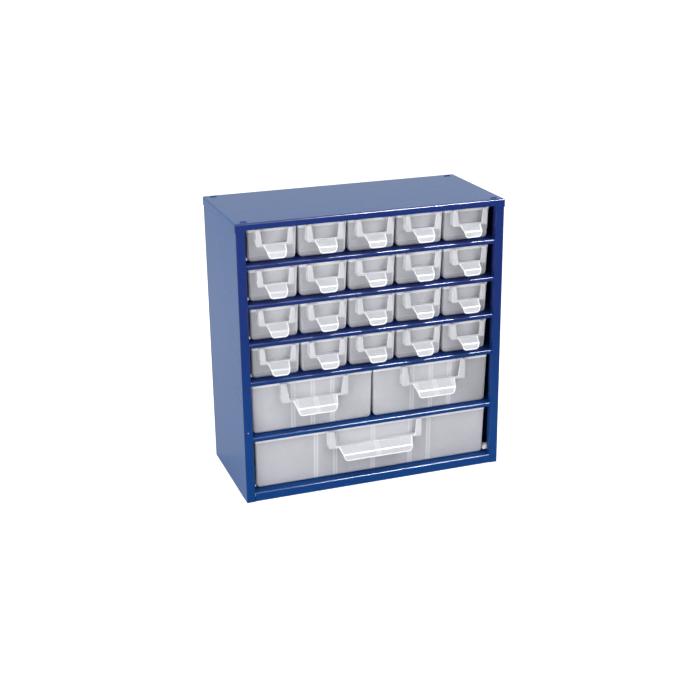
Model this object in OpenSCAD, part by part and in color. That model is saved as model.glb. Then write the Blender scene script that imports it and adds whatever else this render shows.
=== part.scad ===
// Parts bin cabinet: a folded sheet-steel case whose bays hold sliding moulded drawers.
// Millimetres. Z points up and the front faces -Y. The origin lies on the ground, at the
// middle of the footprint with the pulls included.

/* [Case] */
// Overall width, across the top cover
case_w = 306; // [260:1:380]
// Depth of the case without the pulls
case_d = 140; // [115:1:190]
// Thickness of the steel sheet
sheet_t = 0.8; // [0.6:0.1:1.2]
// Inner radius of the sheet's bends
bend_r = 0.6; // [0.3:0.1:1]
// Inner radius of the bends along the cover's, shelves' and base's front edges
lip_r = 1.1; // [0.5:0.1:1.6]
// Width of the posts beside the bays
post_w = 10; // [8:0.5:14]
// Depth of the fold behind each post's inner edge
post_fold = 8; // [5:0.5:9]
// Diameter of the hook holes punched in the posts' folds
hook_hole_d = 2.4; // [1.5:0.1:3]
// Height of the hook holes above each bay's floor
hook_hole_z = 13; // [8:0.5:20]
// Width of the folds along the side panels' rear edges
rear_fold = 12; // [9:0.5:12.5]
// Height of the cover's front rail
cover_rail_h = 7.2; // [5:0.1:9]
// Height of the cover's skirts at the sides and the back
skirt_h = 9.5; // [9:0.5:14]
// Height of the lowest bay's floor above the ground
base_h = 10.7; // [8:0.1:18]
// Width of the folds that the case stands on
foot_fold = 12; // [6:0.5:25]

/* [Cover dimples] */
// Length of each stacking dimple
dimple_l = 9; // [6:0.5:14]
// Width of each stacking dimple
dimple_w = 4; // [3:0.5:5]
// Height of each stacking dimple
dimple_h = 1.2; // [0.6:0.1:1.5]
// Distance of the dimples' middles from the cover's side edges
dimple_side = 11; // [9:0.5:20]
// Distance of the dimples' middles from the cover's front and rear edges
dimple_end = 7; // [5:0.5:15]

/* [Bays] */
// Rows of small drawers
small_rows = 4; // [2:1:5]
// Small drawers in a row
small_per_row = 5; // [4:1:6]
// Medium drawers side by side
medium_per_row = 2; // [1:1:2]
// Clear height of a small drawer's bay
small_bay_h = 38; // [34:0.5:48]
// Clear height of the medium drawers' bay
medium_bay_h = 59.5; // [50:0.5:75]
// Clear height of the large drawer's bay
large_bay_h = 60; // [52:0.5:75]
// Height of the lip along a shelf's front edge
shelf_lip_h = 5.3; // [4.8:0.1:7]
// Depth of the fold under that lip
shelf_lip_fold = 4; // [3:0.5:6]
// How far the lip lies behind the posts' front faces
shelf_setback = 1.5; // [0:0.1:2]
// Height of the fold along a shelf's rear edge
shelf_rear_h = 6; // [4:0.5:10]
// Height of the folds that weld a shelf's ends to the side panels
shelf_end_h = 8; // [4:0.5:12]
// Length of those folds
shelf_end_l = 110; // [60:1:112]

/* [Drawers] */
// Thickness of the drawers' walls
wall_t = 1.4; // [1:0.1:2]
// Thickness of the drawers' floors
floor_t = 1.5; // [1:0.1:2.5]
// Radius of the long lower edges
corner_r = 5; // [3:0.5:7]
// Radius of the small drawers' lower edges at the front and the back
small_edge_r = 5.5; // [2.1:0.1:6]
// Radius of the other drawers' lower edges at the front and the back
edge_r = 2.4; // [2.1:0.1:3]
// How far each side leans in towards the floor
side_lean = 1; // [0.5:0.1:2]
// How far the front leans back towards the floor
front_lean = 2.7; // [1:0.1:4]
// How far the back leans forward towards the floor
rear_lean = 1.5; // [0.5:0.1:3]
// How far the front walls lie behind the posts' front faces
drawer_recess = 8.7; // [6:0.1:11]
// Gap between neighbouring drawers
drawer_gap = 1.6; // [1:0.1:3]
// Gap between the posts and the end drawers of the small rows
small_end_gap = 4; // [2.5:0.1:6]
// Gap between the posts and the medium drawers
medium_end_gap = 2.2; // [1.5:0.1:5]
// Gap between the posts and the large drawer
large_end_gap = 3.6; // [2.5:0.1:6]
// Gap between a drawer's rim and the lip above it
head_gap = 1; // [0.5:0.1:2]
// Running gap under a drawer
run_gap = 0.2; // [0.1:0.05:0.4]
// Gap between a drawer's rear rim and the fold behind it
rear_gap = 0.8; // [0.5:0.1:3]
// Height of the stop lugs on the side walls' rims
stop_h = 3; // [2:0.1:3.4]
// Length of a stop lug
stop_l = 8; // [5:0.5:12]
// Distance from a stop lug's front face to the drawer's rear rim
stop_inset = 26; // [16:1:40]
// Space between the two ribs that hold a divider
slot_w = 2.4; // [1.5:0.1:3]
// Thickness of a divider rib
rib_t = 1.1; // [0.8:0.1:1.5]
// How far a divider rib stands off the wall
rib_depth = 2; // [1:0.1:3]
// Distance between neighbouring divider places
slot_pitch = 22.7; // [18:0.1:24]

/* [Label frames and pulls] */
// Thickness of the label frames
frame_t = 1.3; // [1:0.1:1.6]
// Thickness of the pulls
pull_t = 1.5; // [1.1:0.1:2]
// How far the pulls reach out of the case's front
pull_reach = 10; // [7:0.5:14]
// Radius of a pull's lower corners
pull_r = 3; // [1:0.5:4]
// How much further out a pull's lip ends than it begins
pull_lip_lean = 0.8; // [0.3:0.1:2]

/* [Small drawer front] */
// Width of the label frame
small_frame_w = 40; // [36:0.5:42]
// Height of the label frame's bottom
small_frame_z = 18.7; // [16:0.1:21]
// Width of the label window at the rim
small_window_top_w = 31; // [28:0.5:33]
// Width of the label window at its bottom
small_window_low_w = 27; // [22:0.5:28]
// Height of the label window's bottom
small_window_z = 21.3; // [21:0.1:25]
// Width of the pull where it leaves the frame
small_pull_top_w = 24.6; // [20:0.1:30]
// Width of the pull at its tip
small_pull_low_w = 17.7; // [12:0.1:20]
// Height at which the pull turns down
small_ramp_z = 14.2; // [12:0.1:15.5]
// Height of the pull's tip
small_tip_z = 7.5; // [4:0.1:9]

/* [Medium drawer front] */
// Width of the label frame
medium_frame_w = 76; // [70:0.5:90]
// Height of the label frame's bottom
medium_frame_z = 36; // [32:0.1:38]
// Width of the label window at the rim
medium_window_top_w = 66; // [60:0.5:68]
// Width of the label window at its bottom
medium_window_low_w = 59; // [50:0.5:60]
// Height of the label window's bottom
medium_window_z = 38.6; // [38:0.1:44]
// Width of the pull where it leaves the frame
medium_pull_top_w = 52; // [44:0.5:60]
// Width of the pull at its tip
medium_pull_low_w = 41.5; // [30:0.5:44]
// Height at which the pull turns down
medium_ramp_z = 29.5; // [27:0.1:32]
// Height of the pull's tip
medium_tip_z = 22.2; // [18:0.1:25]

/* [Large drawer front] */
// Width of the label frame
large_frame_w = 111; // [104:0.5:125]
// Height of the label frame's bottom
large_frame_z = 38.2; // [34:0.1:40]
// Width of the label window at the rim
large_window_top_w = 99; // [90:0.5:102]
// Width of the label window at its bottom
large_window_low_w = 95; // [80:0.5:96]
// Height of the label window's bottom
large_window_z = 40.8; // [40:0.1:46]
// Width of the pull where it leaves the frame
large_pull_top_w = 89; // [80:0.5:98]
// Width of the pull at its tip
large_pull_low_w = 79; // [60:0.5:80]
// Height at which the pull turns down
large_ramp_z = 31.4; // [29:0.1:34]
// Height of the pull's tip
large_tip_z = 25.2; // [20:0.1:27]

/* [Guides and fixings] */
// Height of the corner guides' undersides above the bay's floor
guide_z = 3; // [1:0.5:6]
// Height of a corner guide
guide_h = 5.5; // [3:0.5:6]
// Length of a corner guide
guide_l = 8; // [4:0.5:14]
// Distance of the corner guides behind the posts' front faces
guide_y = 9.5; // [9.5:0.5:16]
// Gap between a guide's lower edge and the drawer beside it
guide_gap = 0.6; // [0.4:0.1:1.5]
// Diameter of a rivet's shank
rivet_d = 3.2; // [2.4:0.1:4]
// Diameter of a rivet's head
rivet_head_d = 6.4; // [5:0.1:8]
// Diameter of the set end of a rivet
rivet_end_d = 4.6; // [4.3:0.1:5.5]
// Length of the set end of a rivet
rivet_end_l = 1.5; // [1:0.1:3]
// Diameter of the wall screws' holes
wall_hole_d = 5.5; // [4:0.1:8]
// Distance between the wall screws' holes, across the case
wall_hole_pitch = 240; // [160:1:248]

/* [Hidden] */
$fn = 48;
// Steps that an arc is drawn in
ARC_STEPS = 6;
// How far cutting shapes run past what they cut
OVER = 1;
// Clearance between a notch and the fold that it clears
NOTCH_GAP = 0.2;
// Clearance of a rivet's shank in its hole
RIVET_GAP = 0.05;
STEEL = [0.12, 0.24, 0.55];
PLASTIC = [0.86, 0.87, 0.89];
NYLON = [0.95, 0.95, 0.96];
ZINC = [0.7, 0.71, 0.74];

// Heights of the bays' floors, from the lowest bay up
large_z = base_h;
medium_z = large_z + large_bay_h + shelf_lip_h;
small_pitch = small_bay_h + shelf_lip_h;
first_small_z = medium_z + medium_bay_h + shelf_lip_h;
small_z = [for (i = [0:small_rows - 1]) first_small_z + i * small_pitch];
shelf_z = concat([medium_z], small_z);
bay_floor = concat([large_z], shelf_z);
case_h = small_z[small_rows - 1] + small_bay_h + cover_rail_h;
bay_middle = concat([large_z + large_bay_h / 2, medium_z + medium_bay_h / 2],
                    [for (z = small_z) z + small_bay_h / 2]);

// Planes of the case
front_y = (pull_reach - case_d) / 2;
rear_y = front_y + case_d;
back_y = rear_y - sheet_t;              // outer face of the back panel
frame_back_y = back_y - sheet_t;        // inner face of the back panel
side_x = case_w / 2 - sheet_t;          // outer faces of the side panels
inner_x = side_x - sheet_t;             // inner faces of the side panels
post_x = side_x - post_w;               // inner edges of the posts
panel_top = case_h - sheet_t - lip_r;   // top edges of the side and back panels
rivet_x = side_x - rear_fold / 2;

// Drawers
small_row_w = 2 * (post_x - small_end_gap);
small_w = (small_row_w - (small_per_row - 1) * drawer_gap) / small_per_row;
medium_w = (2 * (post_x - medium_end_gap) - (medium_per_row - 1) * drawer_gap) / medium_per_row;
large_w = 2 * (post_x - large_end_gap);
drawer_l = case_d - 3 * sheet_t - rear_gap - drawer_recess;
drawer_y = front_y + drawer_recess;

function unit(v) = v / norm(v);
function turned(v, angle) = [v[0] * cos(angle) - v[1] * sin(angle), v[0] * sin(angle) + v[1] * cos(angle)];
function arc(centre, r, from, to) =
    [for (i = [0:ARC_STEPS]) let (a = from + (to - from) * i / ARC_STEPS) centre + r * [cos(a), sin(a)]];
function reversed(list) = [for (i = [len(list) - 1:-1:0]) list[i]];

// One face of the bend at point i of a strip's centre line; side is 1 for its left face and -1 for its right
function bend(path, i, side, r) =
    let (into = unit(path[i] - path[i - 1]),
         out = unit(path[i + 1] - path[i]),
         way = sign(into[0] * out[1] - into[1] * out[0]),
         angle = acos(into * out),
         centre = path[i] - into * r * tan(angle / 2) + turned(into, 90) * way * r,
         arm = turned(into, -90) * way * (r - side * way * sheet_t / 2))
    [for (k = [0:ARC_STEPS]) centre + turned(arm, way * angle * k / ARC_STEPS)];

function strip_face(path, side, radii) =
    let (last = len(path) - 1,
         first_way = turned(unit(path[1] - path[0]), 90),
         last_way = turned(unit(path[last] - path[last - 1]), 90))
    concat([path[0] + first_way * side * sheet_t / 2],
           [for (i = [1:last - 1]) each bend(path, i, side, radii[i - 1] + sheet_t / 2)],
           [path[last] + last_way * side * sheet_t / 2]);

// Section of a folded sheet along a centre line, with the inner radius of each bend
function strip(path, radii) = concat(strip_face(path, 1, radii), reversed(strip_face(path, -1, radii)));

// Outline of a tub: leaning sides, rounded lower corners and a flat top that may run over
function tub(left, right, left_lean, right_lean, bottom, top, r, over = 0) =
    let (rise = top - bottom,
         a = atan(left_lean / rise),
         b = atan(right_lean / rise),
         low = 1 - r / rise,
         left_c = [left + left_lean * low + r / cos(a), bottom + r],
         right_c = [right - right_lean * low - r / cos(b), bottom + r])
    concat([[right + right_lean * over / rise, top + over], [left - left_lean * over / rise, top + over]],
           arc(left_c, r, 180 + a, 270), arc(right_c, r, 270, 360 - b));

// Outline of a lid: square below, with rounded upper corners
function lid(left, right, bottom, top, r) =
    concat([[left, bottom], [right, bottom]], arc([right - r, top - r], r, 0, 90),
           arc([left + r, top - r], r, 90, 180));

// Extrudes a section in Y and Z across the width w
module along_x(w) { rotate([90, 0, 90]) linear_extrude(height = w, center = true) children(); }

// Extrudes a section in X and Z from y = from to y = to
module along_y(from, to) { translate([0, to, 0]) rotate([90, 0, 0]) linear_extrude(height = to - from) children(); }

module box(low, high) { translate(low) cube(high - low); }

module both_sides() { for (s = [0, 1]) mirror([s, 0, 0]) children(); }

// Space of the posts and the rear folds, which the shelves and the base are notched for
module fold_notches(low, high) {
    both_sides() {
        box([post_x - NOTCH_GAP, front_y - OVER, low], [side_x, front_y + post_fold + NOTCH_GAP, high]);
        box([side_x - rear_fold - NOTCH_GAP, frame_back_y - sheet_t - NOTCH_GAP, low],
            [side_x, rear_y, high]);
    }
}

// Left side panel: a wall with a post folded round its front edge and a fold along its back
module side_panel() {
    fold_x = -post_x - sheet_t / 2;
    wall_x = -side_x + sheet_t / 2;
    post_y = front_y + sheet_t / 2;
    fold_y = frame_back_y - sheet_t / 2;
    plan = [[fold_x, front_y + post_fold], [fold_x, post_y], [wall_x, post_y], [wall_x, fold_y],
            [-side_x + rear_fold, fold_y]];
    color(STEEL) difference() {
        linear_extrude(height = panel_top) polygon(strip(plan, [bend_r, bend_r, bend_r]));
        box([-case_w, front_y - OVER, case_h - cover_rail_h], [0, front_y + sheet_t, case_h]);
        for (z = bay_floor)
            translate([-post_x - sheet_t - OVER, front_y + (post_fold + sheet_t) / 2, z + hook_hole_z])
                rotate([0, 90, 0]) cylinder(d = hook_hole_d, h = sheet_t + 2 * OVER);
        for (z = bay_middle)
            translate([-rivet_x, rear_y, z]) rotate([90, 0, 0])
                cylinder(d = rivet_d + 2 * RIVET_GAP, h = 5 * sheet_t);
    }
}

module back_panel() {
    color(STEEL) difference() {
        box([-side_x, frame_back_y, 0], [side_x, back_y, panel_top]);
        both_sides() {
            for (z = bay_middle)
                translate([rivet_x, rear_y, z]) rotate([90, 0, 0])
                    cylinder(d = rivet_d + 2 * RIVET_GAP, h = 4 * sheet_t);
            for (z = [bay_middle[0], bay_middle[len(bay_middle) - 1]])
                translate([wall_hole_pitch / 2, rear_y, z]) rotate([90, 0, 0])
                    cylinder(d = wall_hole_d, h = 4 * sheet_t);
        }
    }
}

// Floor of the lowest bay, with the bottom rail and the folds that the case stands on
module base_panel() {
    rail_y = front_y + sheet_t / 2;
    tail_y = frame_back_y - sheet_t / 2;
    foot_z = sheet_t / 2;
    deck_z = base_h - sheet_t / 2;
    section = [[rail_y + foot_fold, foot_z], [rail_y, foot_z], [rail_y, deck_z], [tail_y, deck_z],
               [tail_y, foot_z], [tail_y - foot_fold, foot_z]];
    color(STEEL) difference() {
        along_x(2 * inner_x) polygon(strip(section, [bend_r, lip_r, bend_r, bend_r]));
        fold_notches(-OVER, base_h + OVER);
    }
}

// Shelf number i, counted from the lowest
module shelf(i) {
    top = shelf_z[i - 1];
    lip_y = front_y + shelf_setback + sheet_t / 2;
    lip_z = top - shelf_lip_h + sheet_t / 2;
    deck_z = top - sheet_t / 2;
    tail_y = frame_back_y - sheet_t / 2;
    section = [[lip_y + shelf_lip_fold, lip_z], [lip_y, lip_z], [lip_y, deck_z], [tail_y, deck_z],
               [tail_y, top + shelf_rear_h]];
    middle_y = (front_y + rear_y) / 2;
    color(STEEL) difference() {
        union() {
            along_x(2 * inner_x) polygon(strip(section, [bend_r, lip_r, bend_r]));
            both_sides()
                box([inner_x - sheet_t, middle_y - shelf_end_l / 2, top - shelf_end_h],
                    [inner_x, middle_y + shelf_end_l / 2, top - sheet_t / 2]);
        }
        fold_notches(top - shelf_end_h - OVER, top + shelf_rear_h + OVER);
    }
}

// Raised oblong dimple that keeps a cabinet stacked on top from sliding
module dimple() {
    r = (pow(dimple_w / 2, 2) + pow(dimple_h, 2)) / (2 * dimple_h);
    run = (dimple_l - dimple_w) / 2;
    intersection() {
        translate([0, 0, dimple_h - r]) union() {
            rotate([0, 90, 0]) cylinder(r = r, h = 2 * run, center = true);
            for (s = [-1, 1]) translate([s * run, 0, 0]) sphere(r = r);
        }
        box([-dimple_l, -dimple_l, -sheet_t / 2], [dimple_l, dimple_l, dimple_l]);
    }
}

module top_cover() {
    x = case_w / 2;
    outer_r = lip_r + sheet_t;
    low = case_h - skirt_h;
    color(STEEL) {
        difference() {
            intersection() {
                along_x(case_w) polygon(lid(front_y, rear_y, low, case_h, outer_r));
                along_y(front_y, rear_y) polygon(lid(-x, x, low, case_h, outer_r));
            }
            intersection() {
                along_x(case_w) polygon(lid(front_y + sheet_t, back_y, low - OVER, case_h - sheet_t, lip_r));
                along_y(front_y, rear_y) polygon(lid(-side_x, side_x, low - OVER, case_h - sheet_t, lip_r));
            }
            box([-case_w, front_y - OVER, low - OVER], [case_w, front_y + sheet_t, case_h - cover_rail_h]);
        }
        for (sx = [-1, 1]) for (y = [front_y + dimple_end, rear_y - dimple_end])
            translate([sx * (x - dimple_side), y, case_h]) dimple();
    }
}

// Corner guide: a wedge on the right side panel, beside the lower edge of a row of drawers w wide
module guide(floor_z, w) {
    edge_x = w / 2 - side_lean + guide_gap;
    color(NYLON) translate([0, 0, floor_z + guide_z])
        along_y(front_y + guide_y, front_y + guide_y + guide_l)
            polygon([[inner_x, 0], [edge_x, 0], [edge_x + guide_h / 2, guide_h], [inner_x, guide_h]]);
}

// The guides of all rows: one on the left of each small row and one on either side of the large drawer
module corner_guides() {
    for (z = small_z) mirror([1, 0, 0]) guide(z, small_row_w);
    both_sides() guide(large_z, large_w);
}

module rivet() {
    head_h = sheet_t;
    grip = 2 * sheet_t;
    color(ZINC) rotate([90, 0, 0]) union() {
        translate([0, 0, -head_h]) cylinder(d1 = rivet_head_d * 0.7, d2 = rivet_head_d, h = head_h);
        cylinder(d = rivet_d, h = grip);
        translate([0, 0, grip]) cylinder(d = rivet_end_d, h = rivet_end_l);
    }
}

module back_rivets() {
    both_sides() for (z = bay_middle) translate([rivet_x, back_y, z]) rivet();
}

// Moulded tub, open above: its front wall's rim is at y = 0 and its floor at z = 0; the lower edges at its
// front and back have the radius r
module tub_shell(w, h, r) {
    rise = (h - floor_t) / h;
    difference() {
        intersection() {
            along_y(0, drawer_l) polygon(tub(-w / 2, w / 2, side_lean, side_lean, 0, h, corner_r));
            along_x(w) polygon(tub(0, drawer_l, front_lean, rear_lean, 0, h, r));
        }
        intersection() {
            along_y(0, drawer_l)
                polygon(tub(wall_t - w / 2, w / 2 - wall_t, side_lean * rise, side_lean * rise, floor_t, h,
                            corner_r - wall_t, OVER));
            along_x(w)
                polygon(tub(wall_t, drawer_l - wall_t, front_lean * rise, rear_lean * rise, floor_t, h,
                            r - wall_t, OVER));
        }
    }
}

// Where the front wall's outer face lies at height z of a drawer h high
function front_face(z, h) = front_lean * (1 - z / h);

// Label frame: a shallow pocket in front of the wall, open above, with a window in its face
module label_frame(h, frame_w, frame_z, window_top_w, window_low_w, window_z) {
    face_y = -drawer_recess;
    pocket_y = face_y + frame_t;
    pocket_z = frame_z + frame_t;
    window_run = (window_top_w - window_low_w) / 2 / (h - window_z) * OVER;
    difference() {
        along_x(frame_w)
            polygon([[face_y, frame_z], [front_face(frame_z, h) + wall_t / 2, frame_z], [wall_t / 2, h],
                     [face_y, h]]);
        along_x(frame_w - 2 * frame_t)
            polygon([[pocket_y, pocket_z], [front_face(pocket_z, h), pocket_z],
                     [front_face(h + OVER, h), h + OVER], [pocket_y, h + OVER]]);
        along_y(face_y - OVER, pocket_y + OVER)
            polygon([[-window_low_w / 2, window_z], [window_low_w / 2, window_z],
                     [window_top_w / 2 + window_run, h + OVER], [-window_top_w / 2 - window_run, h + OVER]]);
    }
}

// Pull: a tongue that slopes forward from the frame's foot and turns down to a lip with rounded corners
module pull(frame_z, top_w, low_w, ramp_z, tip_z) {
    root = [-drawer_recess + pull_t / 4, frame_z + pull_t / 2];
    knee = [-drawer_recess - pull_reach + pull_lip_lean + pull_t / 2, ramp_z];
    tip = [-drawer_recess - pull_reach + pull_t / 2, tip_z];
    slope = unit(knee - root);
    drop = unit(tip - knee);
    across = turned(slope, 90) * pull_t / 2;
    along = turned(drop, 90) * pull_t / 2;
    miter = (across + along) / (1 + slope * drop);
    rise = frame_z + pull_t - tip_z;
    lean = (top_w - low_w) / 2;
    intersection() {
        along_x(top_w + OVER)
            polygon([root + across, knee + miter, tip + along, tip - along, knee - miter, root - across]);
        along_y(-drawer_recess - pull_reach - OVER, OVER)
            polygon(tub(-top_w / 2, top_w / 2, lean, lean, tip_z, tip_z + rise, pull_r, OVER));
    }
}

// Ribs on the insides of the front and rear walls, in pairs that hold a divider between them
module divider_ribs(h, places) {
    low = floor_t / 2;
    high = h - stop_h;
    rear_low = rear_lean * (1 - low / h);
    rear_high = rear_lean * (1 - high / h);
    for (place = places) for (s = [-1, 1])
        translate([place * slot_pitch + s * (slot_w + rib_t) / 2, 0, 0]) along_x(rib_t) {
            polygon([[front_face(low, h) + wall_t / 2, low], [front_face(low, h) + wall_t + rib_depth, low],
                     [front_face(high, h) + wall_t + rib_depth, high],
                     [front_face(high, h) + wall_t / 2, high]]);
            polygon([[drawer_l - rear_low - wall_t / 2, low], [drawer_l - rear_high - wall_t / 2, high],
                     [drawer_l - rear_high - wall_t - rib_depth, high],
                     [drawer_l - rear_low - wall_t - rib_depth, low]]);
        }
}

// Lugs on the side walls' rims that meet the lip above when the drawer is pulled out
module stop_lugs(w, h) {
    y = drawer_l - stop_inset;
    both_sides() translate([(w - wall_t) / 2, 0, 0]) along_x(wall_t)
        polygon([[y, h], [y, h + stop_h], [y + stop_l / 2, h + stop_h], [y + stop_l, h]]);
}

// Whole drawer, with frame = [width, z], window = [top width, low width, z],
// tongue = [top width, low width, ramp z, tip z] and the places of its divider ribs
module drawer(w, h, r, frame, window, tongue, places) {
    color(PLASTIC) union() {
        tub_shell(w, h, r);
        label_frame(h, frame[0], frame[1], window[0], window[1], window[2]);
        pull(frame[1], tongue[0], tongue[1], tongue[2], tongue[3]);
        divider_ribs(h, places);
        stop_lugs(w, h);
    }
}

// Middle of drawer c of n in a row, where each is w wide
function column_x(c, n, w) = (c - (n + 1) / 2) * (w + drawer_gap);

// Small drawer in row r from the top and column c from the left
module small_drawer(r, c) {
    translate([column_x(c, small_per_row, small_w), drawer_y, small_z[small_rows - r] + run_gap])
        drawer(small_w, small_bay_h - head_gap, small_edge_r, [small_frame_w, small_frame_z],
               [small_window_top_w, small_window_low_w, small_window_z],
               [small_pull_top_w, small_pull_low_w, small_ramp_z, small_tip_z], []);
}

module medium_drawer(c) {
    translate([column_x(c, medium_per_row, medium_w), drawer_y, medium_z + run_gap])
        drawer(medium_w, medium_bay_h - head_gap, edge_r, [medium_frame_w, medium_frame_z],
               [medium_window_top_w, medium_window_low_w, medium_window_z],
               [medium_pull_top_w, medium_pull_low_w, medium_ramp_z, medium_tip_z], [-1, 0, 1]);
}

module large_drawer() {
    translate([0, drawer_y, large_z + run_gap])
        drawer(large_w, large_bay_h - head_gap, edge_r, [large_frame_w, large_frame_z],
               [large_window_top_w, large_window_low_w, large_window_z],
               [large_pull_top_w, large_pull_low_w, large_ramp_z, large_tip_z], [-3, -2, 0, 2, 3]);
}

side_panel();  // side_panel_left
mirror([1, 0, 0]) side_panel();  // side_panel_right
back_panel();
base_panel();
top_cover();
for (i = [1:len(shelf_z)]) shelf(i);
corner_guides();
back_rivets();
for (r = [1:small_rows]) for (c = [1:small_per_row])
    small_drawer(r, c);
for (c = [1:medium_per_row]) medium_drawer(c);
large_drawer();
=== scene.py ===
"""Finished model of a parts bin cabinet: an enamelled case of folded sheet steel with moulded drawers.

Every piece is shaped in millimetres on the bench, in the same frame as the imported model, and its mesh
is scaled to metres once when it is done. Z points up and the front faces -Y.
"""
import logging
import math
from collections.abc import Callable, Iterator, Sequence
from contextlib import contextmanager
from dataclasses import dataclass
from enum import Enum
from functools import cache, cached_property

import bmesh
import bpy
from mathutils import Matrix, Vector


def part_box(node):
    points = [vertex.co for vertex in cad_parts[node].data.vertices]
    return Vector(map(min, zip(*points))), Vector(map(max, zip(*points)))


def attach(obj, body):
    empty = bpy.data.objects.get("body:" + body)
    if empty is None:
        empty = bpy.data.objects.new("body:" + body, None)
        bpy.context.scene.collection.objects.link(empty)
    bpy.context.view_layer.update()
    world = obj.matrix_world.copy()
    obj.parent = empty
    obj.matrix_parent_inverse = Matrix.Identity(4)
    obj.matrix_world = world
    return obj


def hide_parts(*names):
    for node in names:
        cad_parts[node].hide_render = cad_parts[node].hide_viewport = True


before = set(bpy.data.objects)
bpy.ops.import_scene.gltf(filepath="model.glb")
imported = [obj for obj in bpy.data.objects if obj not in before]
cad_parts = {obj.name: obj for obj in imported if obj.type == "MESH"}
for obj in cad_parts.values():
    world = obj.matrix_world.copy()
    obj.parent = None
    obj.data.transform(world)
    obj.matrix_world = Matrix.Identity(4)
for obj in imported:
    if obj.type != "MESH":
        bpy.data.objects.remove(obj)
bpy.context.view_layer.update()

LOG = logging.getLogger("cabinet")
MM = 0.001
# How far a cutting shape runs past what it cuts
OVER = 1.0
# Left and right
SIDES = (-1, 1)

Point = Sequence[float]
Test = Callable[[object], bool]
Colour = tuple[float, float, float, float]
Edge = bmesh.types.BMEdge
Socket = bpy.types.NodeSocket
Material = bpy.types.Material


class Pick(Enum):
    """What a selection holds."""

    VERTS = "VERT"
    EDGES = "EDGE"
    FACES = "FACE"


class Join(Enum):
    """How one solid acts on another."""

    ADD = "UNION"
    CUT = "DIFFERENCE"


class Slot(Enum):
    """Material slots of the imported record."""

    PAINT = "case_paint"
    PLASTIC = "drawer_plastic"
    NYLON = "guide_nylon"
    RIVET = "rivet_metal"


# ---- Bench: one object at a time, shaped with the modelling tools ----


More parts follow.
